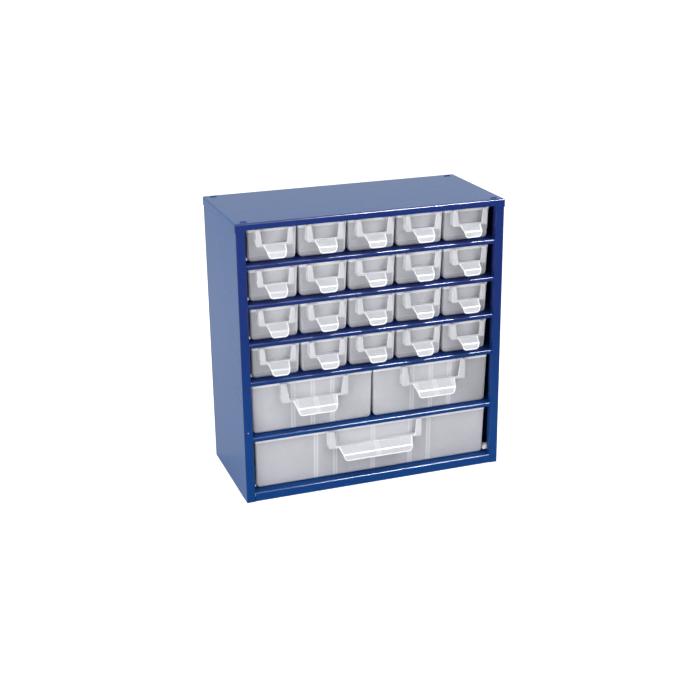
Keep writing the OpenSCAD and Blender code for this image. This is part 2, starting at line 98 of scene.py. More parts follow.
class Blank:
    """A mesh that is being shaped, in millimetres."""

    # Past this angle an edge is eased
    SHARP = math.radians(38)
    # Up to this angle an edge is shaded smooth
    SMOOTH = math.radians(36)
    WEIGHT = "bevel_weight_edge"

    def __init__(self, obj: bpy.types.Object, name: str) -> None:
        """Takes an object on the bench and names it."""
        self.obj = obj
        obj.name = obj.data.name = name

    @classmethod
    def add(cls, name: str, shape: str, **settings: object) -> "Blank":
        """Adds a primitive.

        Args:
            name: Name of the new piece.
            shape: Blender's name of the primitive.
            settings: Its size and place.

        Returns:
            The primitive, with its place in its mesh.
        """
        bpy.ops.object.select_all(action="DESELECT")
        getattr(bpy.ops.mesh, f"primitive_{shape}_add")(**settings)
        blank = cls(bpy.context.object, name)
        blank.apply_place()
        return blank

    @classmethod
    def box(cls, name: str, low: Point, high: Point) -> "Blank":
        """Adds a box between its lowest and its highest corner."""
        low, high = Vector(low), Vector(high)
        return cls.add(name, "cube", size=1, location=(low + high) / 2, scale=high - low)

    @classmethod
    def line(cls, name: str, points: Sequence[Point], radii: Sequence[float] = (),
             segments: int = 6) -> "Blank":
        """Draws a line of straight runs and rounds its bends.

        Args:
            name: Name of the new piece.
            points: The ends and corners of the line.
            radii: Radius of each inner corner; none leaves them sharp.
            segments: Steps in each bend.

        Returns:
            The line.
        """
        points = [Vector(p) for p in points]
        blank = cls.add(name, "plane", size=1, location=points[0])
        with blank.edit(everything=True):
            bpy.ops.mesh.merge(type="CENTER")
            for here, there in zip(points, points[1:]):
                blank.extrude(there - here)
            for i, radius in enumerate(radii, start=1):
                turn = (points[i] - points[i - 1]).angle(points[i + 1] - points[i])
                blank.pick(Pick.VERTS, lambda v, p=points[i]: (v.co - p).length < 1e-3)
                bpy.ops.mesh.bevel(offset=radius * math.tan(turn / 2), segments=segments, affect="VERTICES")
        return blank

    @classmethod
    def group(cls, name: str, blanks: Sequence["Blank"]) -> "Blank":
        """Takes separate solids into one mesh as they are.

        Args:
            name: Name of the new piece.
            blanks: The solids.

        Returns:
            The piece.
        """
        blanks[0].hold()
        for blank in blanks:
            blank.obj.select_set(True)
        bpy.ops.object.join()
        return cls(blanks[0].obj, name)

    def hold(self) -> None:
        """Makes this the one selected and active object."""
        bpy.ops.object.select_all(action="DESELECT")
        self.obj.select_set(True)
        bpy.context.view_layer.objects.active = self.obj

    def apply_place(self) -> None:
        """Moves the object's place, turn and scale into its mesh."""
        self.hold()
        bpy.ops.object.transform_apply(location=True, rotation=True, scale=True)

    @contextmanager
    def edit(self, everything: bool = False) -> Iterator[None]:
        """Opens the mesh in edit mode.

        Args:
            everything: Whether all of it is selected at first, or else nothing.

        Yields:
            Nothing: the mesh is in edit mode until the block ends.
        """
        self.hold()
        bpy.ops.object.mode_set(mode="EDIT")
        bpy.ops.mesh.select_mode(type="VERT")
        bpy.ops.mesh.select_all(action="SELECT" if everything else "DESELECT")
        yield
        bpy.ops.object.mode_set(mode="OBJECT")

    def pick(self, kind: Pick, test: Test) -> None:
        """Selects, in edit mode, the elements that pass a test and nothing else.

        Args:
            kind: Whether vertices, edges or faces are picked.
            test: Says of one element whether it is wanted.
        """
        bpy.ops.mesh.select_mode(type=kind.value)
        bpy.ops.mesh.select_all(action="DESELECT")
        mesh = bmesh.from_edit_mesh(self.obj.data)
        for part in {Pick.VERTS: mesh.verts, Pick.EDGES: mesh.edges, Pick.FACES: mesh.faces}[kind]:
            if test(part):
                part.select_set(True)
        mesh.select_flush_mode()
        bmesh.update_edit_mesh(self.obj.data)

    @staticmethod
    def extrude(way: Point) -> None:
        """Extrudes what is selected in edit mode."""
        bpy.ops.mesh.extrude_region_move(TRANSFORM_OT_translate={"value": way})

    @staticmethod
    def turn_out(merge: float = 0.0) -> None:
        """Points all faces outwards in edit mode.

        Args:
            merge: Points that lie closer than this are merged first.
        """
        bpy.ops.mesh.select_all(action="SELECT")
        if merge:
            bpy.ops.mesh.remove_doubles(threshold=merge)
        bpy.ops.mesh.normals_make_consistent(inside=False)

    def move(self, test: Test, way: Point) -> None:
        """Moves the vertices that pass a test.

        Args:
            test: Says of one vertex whether it is wanted.
            way: How far they move.
        """
        with self.edit():
            self.pick(Pick.VERTS, test)
            bpy.ops.transform.translate(value=way)

    def assign(self, index: int) -> None:
        """Gives the faces selected in edit mode the material in one of the object's slots."""
        self.obj.active_material_index = index
        bpy.ops.object.material_slot_assign()

    def delete_faces(self, test: Test) -> None:
        """Deletes faces and leaves their neighbours.

        Args:
            test: Says of one face whether it goes.
        """
        with self.edit():
            self.pick(Pick.FACES, test)
            bpy.ops.mesh.delete(type="FACE")

    def modify(self, kind: str, **settings: object) -> None:
        """Adds a modifier and applies it.

        Args:
            kind: Blender's name of the modifier's type.
            settings: Its settings.
        """
        self.hold()
        modifier = self.obj.modifiers.new(kind.lower(), kind)
        for key, value in settings.items():
            setattr(modifier, key, value)
        bpy.ops.object.modifier_apply(modifier=modifier.name)

    def fillet(self, *rounds: tuple[float, Test], segments: int = 6) -> None:
        """Rounds edges, each group to its own radius, in one bevel.

        Args:
            rounds: Pairs of a radius and a test that says which edges take it.
            segments: Steps in each rounding.
        """
        widest = max(radius for radius, _ in rounds)
        mesh = bmesh.new()
        mesh.from_mesh(self.obj.data)
        weight = mesh.edges.layers.float.new(self.WEIGHT)
        for edge in mesh.edges:
            for radius, test in rounds:
                if test(edge):
                    edge[weight] = radius / widest
        mesh.to_mesh(self.obj.data)
        mesh.free()
        self.modify("BEVEL", limit_method="WEIGHT", width=widest, segments=segments, use_clamp_overlap=False)
        layer = self.obj.data.attributes.get(self.WEIGHT)
        if layer:
            self.obj.data.attributes.remove(layer)

    def thicken(self, thickness: float, offset: float) -> None:
        """Gives an open surface a thickness, outwards where offset is 1 and inwards where it is -1."""
        self.modify("SOLIDIFY", thickness=thickness, offset=offset, use_even_offset=True)

    def join(self, other: "Blank", how: Join) -> None:
        """Adds another solid to this one or cuts it away, and uses it up."""
        self.modify("BOOLEAN", operation=how.value, object=other.obj, solver="MANIFOLD")
        other.scrap()

    def cut_box(self, low: Point, high: Point) -> None:
        """Cuts a box away."""
        self.join(Blank.box("cutter", low, high), Join.CUT)

    def ease_edges(self, width: float, material: int = -1, segments: int = 3) -> None:
        """Breaks the sharp edges with a small rounding.

        Args:
            width: Width of the rounding.
            material: Index of the material that the rounding takes, or -1 for its neighbours'.
            segments: Steps in the rounding.
        """
        self.modify("BEVEL", limit_method="ANGLE", angle_limit=self.SHARP, width=width,
                    segments=segments, material=material, miter_outer="MITER_ARC")

    def smooth(self) -> None:
        """Shades the roundings smooth and keeps the flats flat."""
        self.hold()
        bpy.ops.object.shade_smooth_by_angle(angle=self.SMOOTH)
        self.modify("WEIGHTED_NORMAL", keep_sharp=True)

    def copy(self, name: str, way: Point = (0, 0, 0)) -> "Blank":
        """Copies the piece with a mesh of its own.

        Args:
            name: Name of the copy.
            way: How far the copy is moved.

        Returns:
            The copy, with its place in its mesh.
        """
        self.hold()
        bpy.ops.object.duplicate(linked=False)
        twin = Blank(bpy.context.object, name)
        bpy.ops.transform.translate(value=way)
        twin.apply_place()
        return twin

    def mirror_x(self, name: str) -> "Blank":
        """Copies the piece to the other side of the case.

        Args:
            name: Name of the copy.

        Returns:
            The copy, with its faces turned outwards again.
        """
        twin = self.copy(name)
        twin.obj.scale = (-1, 1, 1)
        twin.apply_place()
        with twin.edit():
            twin.turn_out()
        return twin

    def scrap(self) -> None:
        """Takes the piece off the bench for good."""
        bpy.data.objects.remove(self.obj, do_unlink=True)

    def coat(self, *materials: Material) -> None:
        """Gives the piece its materials.

        Args:
            materials: The first lies on all of it, until others are assigned.
        """
        self.obj.data.materials.clear()
        for material in materials:
            self.obj.data.materials.append(material)

    def finish(self, body: str, slot: Slot, *nodes: str) -> None:
        """Scales the mesh to metres, parents the piece to its body's empty and hides the nodes that it stands
        for.

        Args:
            body: The body that the piece moves with.
            slot: The record's slot for its finish; it is not used.
            nodes: The nodes that it stands for.
        """
        self.obj.scale = (MM, MM, MM)
        self.apply_place()
        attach(self.obj, body)
        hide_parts(*nodes)
        LOG.info("%s: %d faces on %s", self.obj.name, len(self.obj.data.polygons), body)


def corners(node: str) -> tuple[Vector, Vector]:
    """Gives a node's lowest and highest corners in millimetres."""
    low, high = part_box(node)
    return Vector(low) / MM, Vector(high) / MM


def near(a: float, b: float, slack: float = 0.02) -> bool:
    """Says whether two lengths are the same within a slack."""
    return abs(a - b) < slack


def level(edge: Edge, z: float) -> bool:
    """Says whether an edge lies at a height."""
    return all(near(vert.co.z, z) for vert in edge.verts)


# ---- Finishes ----


class Wiring:
    """Adds and links the nodes of one node tree."""

    def __init__(self, tree: bpy.types.NodeTree) -> None:
        """Takes the tree that is wired."""
        self.tree = tree

    def feed(self, socket: Socket, source: object) -> None:
        """Feeds a socket.

        Args:
            socket: The socket.
            source: Another socket that is linked to it, or a plain value.
        """
        if isinstance(source, Socket):
            self.tree.links.new(source, socket)
        else:
            socket.default_value = source

    def node(self, kind: str, *sources: object, **settings: object) -> bpy.types.Node:
        """Adds a node.

        Args:
            kind: Its type.
            sources: What feeds its first inputs in turn; None leaves one as it is.
            settings: Its settings.

        Returns:
            The node.
        """
        made = self.tree.nodes.new(f"ShaderNode{kind}")
        for key, value in settings.items():
            setattr(made, key, value)
        for socket, source in zip(made.inputs, sources):
            if source is not None:
                self.feed(socket, source)
        return made

    def math(self, operation: str, *sources: object, clamp: bool = False) -> Socket:
        """Adds a sum of one, two or three values and gives its result."""
        return self.node("Math", *sources, operation=operation, use_clamp=clamp).outputs[0]

    def times(self, *sources: object, clamp: bool = False) -> Socket:
        """Multiplies two values."""
        return self.math("MULTIPLY", *sources, clamp=clamp)

    def plus(self, *sources: object) -> Socket:
        """Adds two values."""
        return self.math("ADD", *sources)

    def apart(self, *sources: object) -> Socket:
        """Gives how far two values lie apart."""
        return self.math("ABSOLUTE", self.math("SUBTRACT", *sources))

    def split(self, vector: Socket) -> bpy.types.bpy_prop_collection:
        """Gives a vector's X, Y and Z."""
        return self.node("SeparateXYZ", vector).outputs

    def mix(self, factor: object, first: object, second: object) -> Socket:
        """Mixes two colours.

        Args:
            factor: How much of the second colour shows.
            first: The first colour.
            second: The second colour.

        Returns:
            The mixed colour.
        """
        made = self.node("Mix", factor, data_type="RGBA")
        for socket, colour in zip(made.inputs[6:8], (first, second)):
            self.feed(socket, colour)
        return made.outputs[2]

    def ramp(self, *sources: object) -> Socket:
        """Stretches a value softly from one range to another, which is 0 to 1 unless it is given."""
        return self.node("MapRange", *sources, interpolation_type="SMOOTHSTEP").outputs[0]

    def noise(self, place: Socket, scale: object, detail: float = 3.0, rough: float = 0.5) -> Socket:
        """Adds cloudy noise and gives its value."""
        return self.node("TexNoise", place, None, scale, detail, rough).outputs["Fac"]

    def facing(self) -> Socket:
        """Gives the way that the surface faces."""
        return self.node("NewGeometry").outputs["Normal"]

    def rays(self) -> tuple[Socket, Socket]:
        """Gives the mask of glossy rays, and the mask of the rays that see the surroundings as they are."""
        rays = self.node("LightPath").outputs
        return rays["Is Glossy Ray"], self.math("MAXIMUM", rays["Is Camera Ray"], rays["Is Transmission Ray"])


class Surface(Wiring):
    """One new material: its wiring and its shader's inputs."""

    def __init__(self, name: str) -> None:
        """Opens the material.

        Args:
            name: Its name.
        """
        self.material = bpy.data.materials.new(name)
        self.material.use_nodes = True
        super().__init__(self.material.node_tree)
        self.shader = self.tree.nodes["Principled BSDF"].inputs

    @cached_property
    def place(self) -> Socket:
        """Gives each point's place on the object."""
        return self.node("TexCoord").outputs["Object"]

    def set(self, **values: object) -> None:
        """Sets the shader's inputs, with _ for a space in a name."""
        for key, value in values.items():
            self.feed(self.shader[key.replace("_", " ")], value)

    def bump(self, distance: float, *grain: float) -> None:
        """Raises the surface with noise.

        Args:
            distance: Height of the bumps in metres.
            grain: Scale, detail and roughness of the noise.
        """
        made = self.node("Bump")
        made.inputs["Distance"].default_value = distance
        self.feed(made.inputs["Height"], self.noise(self.place, *grain))
        self.set(Normal=made.outputs["Normal"])


class Effect(Wiring):
    """A node group with named inputs and outputs, built once and placed in many materials."""

    def __init__(self, name: str, takes: str, gives: str = "Mask") -> None:
        """Opens the group.

        Args:
            name: Name of the group.
            takes: Names of its inputs; one that is no plain number has its type after a colon.
            gives: Names of its outputs, in the same way.
        """
        super().__init__(bpy.data.node_groups.new(name, "ShaderNodeTree"))
        for way, sockets in (("INPUT", takes), ("OUTPUT", gives)):
            for socket in sockets.split():
                label, _, kind = socket.partition(":")
                self.tree.interface.new_socket(label, in_out=way, socket_type=f"NodeSocket{kind or 'Float'}")
        self.given = self.tree.nodes.new("NodeGroupInput").outputs
        self.result = self.tree.nodes.new("NodeGroupOutput").inputs

    def give(self, **results: Socket) -> "Effect":
        """Links the group's outputs.

        Args:
            results: What each output gives.

        Returns:
            The group.
        """
        for key, value in results.items():
            self.feed(self.result[key], value)
        return self

    def on(self, surface: Surface, **values: object) -> bpy.types.bpy_prop_collection:
        """Places the group in a material.

        Args:
            surface: The material.
            values: A value or a socket for each input but the place.

        Returns:
            The outputs of the placed group.
        """
        made = surface.node("Group", node_tree=self.tree)
        if "Place" in made.inputs:
            values["Place"] = surface.place
        for key, value in values.items():
            surface.feed(made.inputs[key], value)
        return made.outputs


@cache
def cloud_effect() -> Effect:
    """Builds the group that drifts a colour between two shades.

    Returns:
        The group, with the outputs Colour and Mask.
    """
    effect = Effect("cloud", "Place:Vector Scale Shade:Color Tint:Color Amount", "Colour:Color Mask")
    given = effect.given
    # Broad drifts with finer ones over them
    broad = effect.noise(given["Place"], given["Scale"])
    fine = effect.noise(given["Place"], effect.times(given["Scale"], 7.3), 4.0, 0.6)
    both = effect.plus(effect.times(broad, 0.7), effect.times(fine, 0.3))
    mask = effect.times(effect.ramp(both, 0.35, 0.65), given["Amount"], clamp=True)
    return effect.give(Colour=effect.mix(mask, given["Shade"], given["Tint"]), Mask=mask)


@cache
def wear_and_highlight_effect() -> Effect:
    """Builds the group that finds edges and breaks them up as handling does: wear on the enamel and the
    rivets, a painted highlight on the plastic's edges.

    Returns:
        The group, with the output Mask.
    """
    effect = Effect("edge wear and highlight", "Place:Vector Reach Amount Grain")
    given = effect.given
    # The rounded normal leaves the true one only near an edge
    rounded = effect.node("Bevel", given["Reach"], samples=4).outputs["Normal"]
    facing = effect.node("VectorMath", rounded, effect.facing(), operation="DOT_PRODUCT")
    edge = effect.ramp(facing.outputs["Value"], 0.999, 0.9)
    chips = effect.ramp(effect.noise(given["Place"], given["Grain"], 5.0, 0.7), 0.45, 0.6, 0.25, 1.0)
    return effect.give(Mask=effect.times(effect.times(edge, chips), given["Amount"], clamp=True))


@cache
def dust_effect() -> Effect:
    """Builds the group that lays thin dust on what faces up.

    Returns:
        The group, with the output Mask.
    """
    effect = Effect("dust", "Place:Vector Amount Scale")
    given = effect.given
    upward = effect.ramp(effect.split(effect.facing())["Z"], 0.3, 0.95, 0.12, 1.0)
    specks = effect.ramp(effect.noise(given["Place"], given["Scale"], 6.0, 0.75), 0.42, 0.68)
    return effect.give(Mask=effect.times(effect.times(upward, specks), given["Amount"], clamp=True))


@cache
def scratch_effect() -> Effect:
    """Builds the group of fine rubbed lines that drawers pick up.

    Returns:
        The group, with the output Mask.
    """
    effect = Effect("scratches", "Place:Vector Scale Amount")
    given = effect.given
    # Noise that is squeezed one way, at two slants
    lines = None
    for turn, thin in ((0.35, 26.0), (-1.1, 34.0)):
        mapping = effect.node("Mapping", given["Place"], None, (0.2, turn, 0.1), (1.0, 1.0, thin))
        streak = effect.ramp(effect.noise(mapping.outputs[0], given["Scale"], 2.0, 0.4), 0.66, 0.78)
        lines = streak if lines is None else effect.math("MAXIMUM", lines, streak)
    return effect.give(Mask=effect.times(lines, given["Amount"], clamp=True))


@cache
def rib_effect() -> Effect:
    """Builds the group that shows pairs of ribs through a translucent wall.

    Returns:
        The group, with the output Mask.
    """
    effect = Effect("ribs behind", "Across Pitch Offset Width Reach Skip")
    given = effect.given
    # How far the nearest pair's middle is, and which pair it is
    steps = effect.math("DIVIDE", given["Across"], given["Pitch"])
    nearest = effect.math("ROUND", steps)
    number = effect.math("ABSOLUTE", nearest)
    middle = effect.math("ABSOLUTE", effect.times(effect.math("SUBTRACT", steps, nearest), given["Pitch"]))
    core = effect.times(given["Width"], 0.2)
    line = effect.ramp(effect.apart(middle, given["Offset"]), given["Width"], core)
    between = effect.ramp(middle, given["Offset"], effect.times(given["Offset"], 0.8), 0.0, 0.45)
    present = effect.math("LESS_THAN", number, effect.plus(given["Reach"], 0.5))
    skipped = effect.math("COMPARE", number, given["Skip"], 0.5)
    kept = effect.times(present, effect.math("SUBTRACT", 1.0, skipped))
    return effect.give(Mask=effect.times(effect.math("MAXIMUM", line, between), kept, clamp=True))


def rgb(red: float, green: float, blue: float, paler: float = 0.0) -> Colour:
    """Gives an opaque colour, paler by an amount."""
    return (red + paler, green + paler, blue + paler, 1.0)


def grey(value: float) -> Colour:
    """Gives an opaque neutral colour."""
    return rgb(value, value, value)


@dataclass(frozen=True)
class Enamel:
    """Gloss stove enamel on sheet steel, deep blue inside and in front, with painted light: greener and
    lighter low down for the floor's bounce and outside for the bright surroundings.
    """

    name: str
    colour: Colour = rgb(0.010, 0.026, 0.148)
    floor_bounce_colour: Colour = rgb(0.005, 0.047, 0.195)
    outside_lit_colour: Colour = rgb(0.006, 0.092, 0.310)
    worn: Colour = rgb(0.045, 0.10, 0.32)
    dust: Colour = rgb(0.30, 0.33, 0.38)
    nick: Colour = rgb(0.55, 0.58, 0.66)
    # Planes, in metres, past which the outside and its painted light begin, and the height that the dimples
    # rise past, above which their crowns keep the darker blue as painted shade
    outer_x: float = 0.1516
    outer_y: float = -0.0625
    outer_z: float = 0.3135
    crown_z: float = 0.3162
    rear_y: float = 0.0738
    # Heights between which the colour turns from the low one, a painted light of the floor's bounce, to the
    # upper one
    low_z: float = 0.02
    high_z: float = 0.24
    nick_place: Point = (-0.1478, -0.0650, 0.0832)
    nick_radius: float = 0.0007
    roughness: float = 0.14
    ior: float = 1.5
    peel: float = 0.000003
    peel_scale: float = 400.0
    smear: float = 0.03
    smear_scale: float = 35.0
    wear: float = 0.5
    dirt: float = 0.05
    # Share of the dirt that settles where the case shelters it
    sheltered: float = 0.15

    def outside(self, made: Surface) -> Socket:
        """Finds the faces that lie on the outside of the case, behind the front, which take the outside's
        painted light.

        Args:
            made: The material.

        Returns:
            Their mask.
        """
        place = made.split(made.place)
        beside = made.math("GREATER_THAN", made.math("ABSOLUTE", place["X"]), self.outer_x)
        above = made.times(made.math("GREATER_THAN", place["Z"], self.outer_z),
                           made.math("LESS_THAN", place["Z"], self.crown_z))
        behind = made.math("GREATER_THAN", place["Y"], self.rear_y)
        outer = made.math("MAXIMUM", made.math("MAXIMUM", beside, above), behind)
        return made.times(made.math("GREATER_THAN", place["Y"], self.outer_y), outer)

    def material(self) -> Material:
        """Makes the material.

        Returns:
            The material.
        """
        made = Surface(self.name)
        # Painted light: the floor's bounce low down, and the bright surroundings on the outside
        rise = made.ramp(made.split(made.place)["Z"], self.low_z, self.high_z)
        outer = self.outside(made)
        base = made.mix(outer, made.mix(rise, self.floor_bounce_colour, self.colour), self.outside_lit_colour)
        drift = cloud_effect().on(made, Scale=9.0, Shade=base, Tint=self.worn, Amount=0.07)
        wear = wear_and_highlight_effect().on(made, Reach=0.0006, Amount=self.wear, Grain=260.0)
        colour = made.mix(wear["Mask"], drift["Colour"], self.worn)
        dust = dust_effect().on(made, Amount=self.dirt, Scale=45.0)
        settled = made.times(dust["Mask"], made.ramp(outer, 0.0, 1.0, self.sheltered, 1.0))
        colour = made.mix(settled, colour, self.dust)
        away = made.node("VectorMath", made.place, self.nick_place, operation="DISTANCE").outputs["Value"]
        chip = made.ramp(away, self.nick_radius, self.nick_radius * 0.5)
        smear = made.times(made.noise(made.place, self.smear_scale), self.smear)
        rough = made.plus(made.plus(smear, self.roughness - self.smear / 2), made.times(settled, 0.5))
        made.set(Base_Color=made.mix(chip, colour, self.nick), Roughness=rough, IOR=self.ior)
        made.bump(self.peel, self.peel_scale, 1.0)
        return made.material


@dataclass(frozen=True)
class RibPattern:
    """Places of the rib pairs behind a front wall, in metres, and the number of the pairs left out."""

    pitch: float = 0.0227
    offset: float = 0.00175
    width: float = 0.0014
    reach: float = 0.0
    skip: float = 99.0


@dataclass(frozen=True)
class Plastic:
    """Milky translucent polypropylene, as one wall, frame or edge of a drawer.

    Places are in metres in the drawer's own frame. A show, light, highlight or shade says how strongly a
    thing shows; the floor's line and shade, the corner highlight, the pocket's light and the right shade are
    painted light and shade.
    """

    name: str
    colour: Colour
    tint: Colour
    ribs: RibPattern | None = None
    rib_show: float = 0.0
    bright: Colour = rgb(0.92, 0.93, 0.95)
    # The floor's edge: a painted light line along it, with painted shade below it
    floor_z: float = 0.0068
    floor_shade: float = 0.0
    floor_line_light: float = 0.18
    # Half the width and the foot of the label pocket
    pocket: tuple[float, float] = (0.0, 0.0)
    # How much the wall and the frame's face inside the pocket are painted lighter: painted light where the
    # frame shades them
    pocket_light: float = 0.0
    # Across, where the painted highlight on the drawer's right corner begins, and how strong it is
    corner_x: float = 0.0
    corner_highlight: float = 0.45
    # The stretch of the case over which drawers darken towards its right: painted shade
    shade_from: float = 0.085
    shade_to: float = 0.145
    greyer: float = 0.0
    # Width over which the edges of the painted light and shade fade out
    soft: float = 0.0008
    milky: float = 0.5
    depth: float = 0.003
    roughness: float = 0.3
    haze: float = 0.16
    haze_scale: float = 60.0
    scuffs: float = 0.10
    grain: float = 0.00002
    grain_scale: float = 240.0
    ior: float = 1.49

    def paint_light_and_ribs(self, made: Surface, colour: Socket) -> Socket:
        """Adds to a wall's colour its painted light and shade and the ribs that show through it.

        Args:
            made: The material.
            colour: The wall's own colour.

        Returns:
            The colour with the painted light and shade and the ribs.
        """
        local = made.split(made.node("Attribute", attribute_name=Drawer.PLACE).outputs["Vector"])
        # Painted shade below the floor's edge and a painted light line along it
        if self.floor_shade:
            below = made.ramp(local["Z"], self.floor_z, self.floor_z - self.soft, 0.0, self.floor_shade)
            colour = made.mix(below, colour, grey(0.0))
            off_line = made.apart(local["Z"], self.floor_z)
            line = made.ramp(off_line, self.soft, self.soft / 4, 0.0, self.floor_line_light)
            colour = made.mix(line, colour, self.bright)
        # Painted highlight along the corner that faces right
        if self.corner_x:
            corner = made.ramp(local["X"], self.corner_x - self.soft, self.corner_x, 0.0, self.corner_highlight)
            colour = made.mix(corner, colour, self.bright)
        # Painted shade, darker towards the case's right
        if self.greyer:
            across = made.split(made.place)["X"]
            shade = made.ramp(across, self.shade_from, self.shade_to, 0.0, self.greyer)
            colour = made.mix(shade, colour, grey(0.0))
        # Painted light inside the label pocket, where the frame shades the wall
        if self.pocket_light:
            half, foot = self.pocket
            soft = 0.75 * self.soft
            inside = made.times(made.ramp(made.math("ABSOLUTE", local["X"]), half, half - soft),
                                made.ramp(local["Z"], foot, foot + soft))
            colour = made.mix(made.times(inside, self.pocket_light), colour, self.bright)
        if self.ribs:
            ribs = rib_effect().on(made, Across=local["X"], Pitch=self.ribs.pitch, Offset=self.ribs.offset,
                                   Width=self.ribs.width, Reach=self.ribs.reach, Skip=self.ribs.skip)
            colour = made.mix(made.times(ribs["Mask"], self.rib_show), colour, self.bright)
        return colour

    def material(self) -> Material:
        """Makes the material.

        Returns:
            The material.
        """
        made = Surface(self.name)
        drift = cloud_effect().on(made, Scale=26.0, Shade=self.colour, Tint=self.tint, Amount=0.8)
        lines = scratch_effect().on(made, Scale=42.0, Amount=self.scuffs)
        colour = self.paint_light_and_ribs(made, made.mix(lines["Mask"], drift["Colour"], self.bright))
        # Painted highlight: the edges are whitened with the edge group's mask
        wear = wear_and_highlight_effect().on(made, Reach=0.0008, Amount=0.5, Grain=180.0)
        haze = made.times(made.noise(made.place, self.haze_scale, 4.0, 0.6), self.haze)
        made.set(Base_Color=made.mix(wear["Mask"], colour, self.bright), IOR=self.ior,
                 Roughness=made.plus(haze, self.roughness - self.haze / 2), Subsurface_Weight=self.milky,
                 Subsurface_Radius=(1.0, 1.0, 1.0), Subsurface_Scale=self.depth)
        made.bump(self.grain, self.grain_scale)
        return made.material


@dataclass(frozen=True)
class Nylon:
    """White moulded nylon."""

    name: str = "white_nylon"
    colour: Colour = rgb(0.86, 0.86, 0.87)
    tint: Colour = rgb(0.78, 0.79, 0.80)
    grain: float = 0.00002
    grain_scale: float = 1400.0

    def material(self) -> Material:
        """Makes the material.

        Returns:
            The material.
        """
        made = Surface(self.name)
        drift = cloud_effect().on(made, Scale=150.0, Shade=self.colour, Tint=self.tint, Amount=0.8)
        made.set(Base_Color=drift["Colour"], Roughness=made.plus(made.times(drift["Mask"], 0.2), 0.38))
        made.bump(self.grain, self.grain_scale)
        return made.material


@dataclass(frozen=True)
class RivetMetal:
    """Dull aluminium, rubbed bright where the setting tool pressed."""

    name: str = "rivet_aluminium"
    colour: Colour = rgb(0.56, 0.57, 0.60)
    tint: Colour = rgb(0.36, 0.37, 0.40)
    bright: Colour = rgb(0.80, 0.81, 0.83)

    def material(self) -> Material:
        """Makes the material.

        Returns:
            The material.
        """
        made = Surface(self.name)
        drift = cloud_effect().on(made, Scale=420.0, Shade=self.colour, Tint=self.tint, Amount=0.9)
        wear = wear_and_highlight_effect().on(made, Reach=0.0003, Amount=0.8, Grain=900.0)
        made.set(Base_Color=made.mix(wear["Mask"], drift["Colour"], self.bright), Metallic=1.0,
                 Roughness=made.plus(made.times(drift["Mask"], 0.25), 0.3))
        return made.material


# ---- Case ----


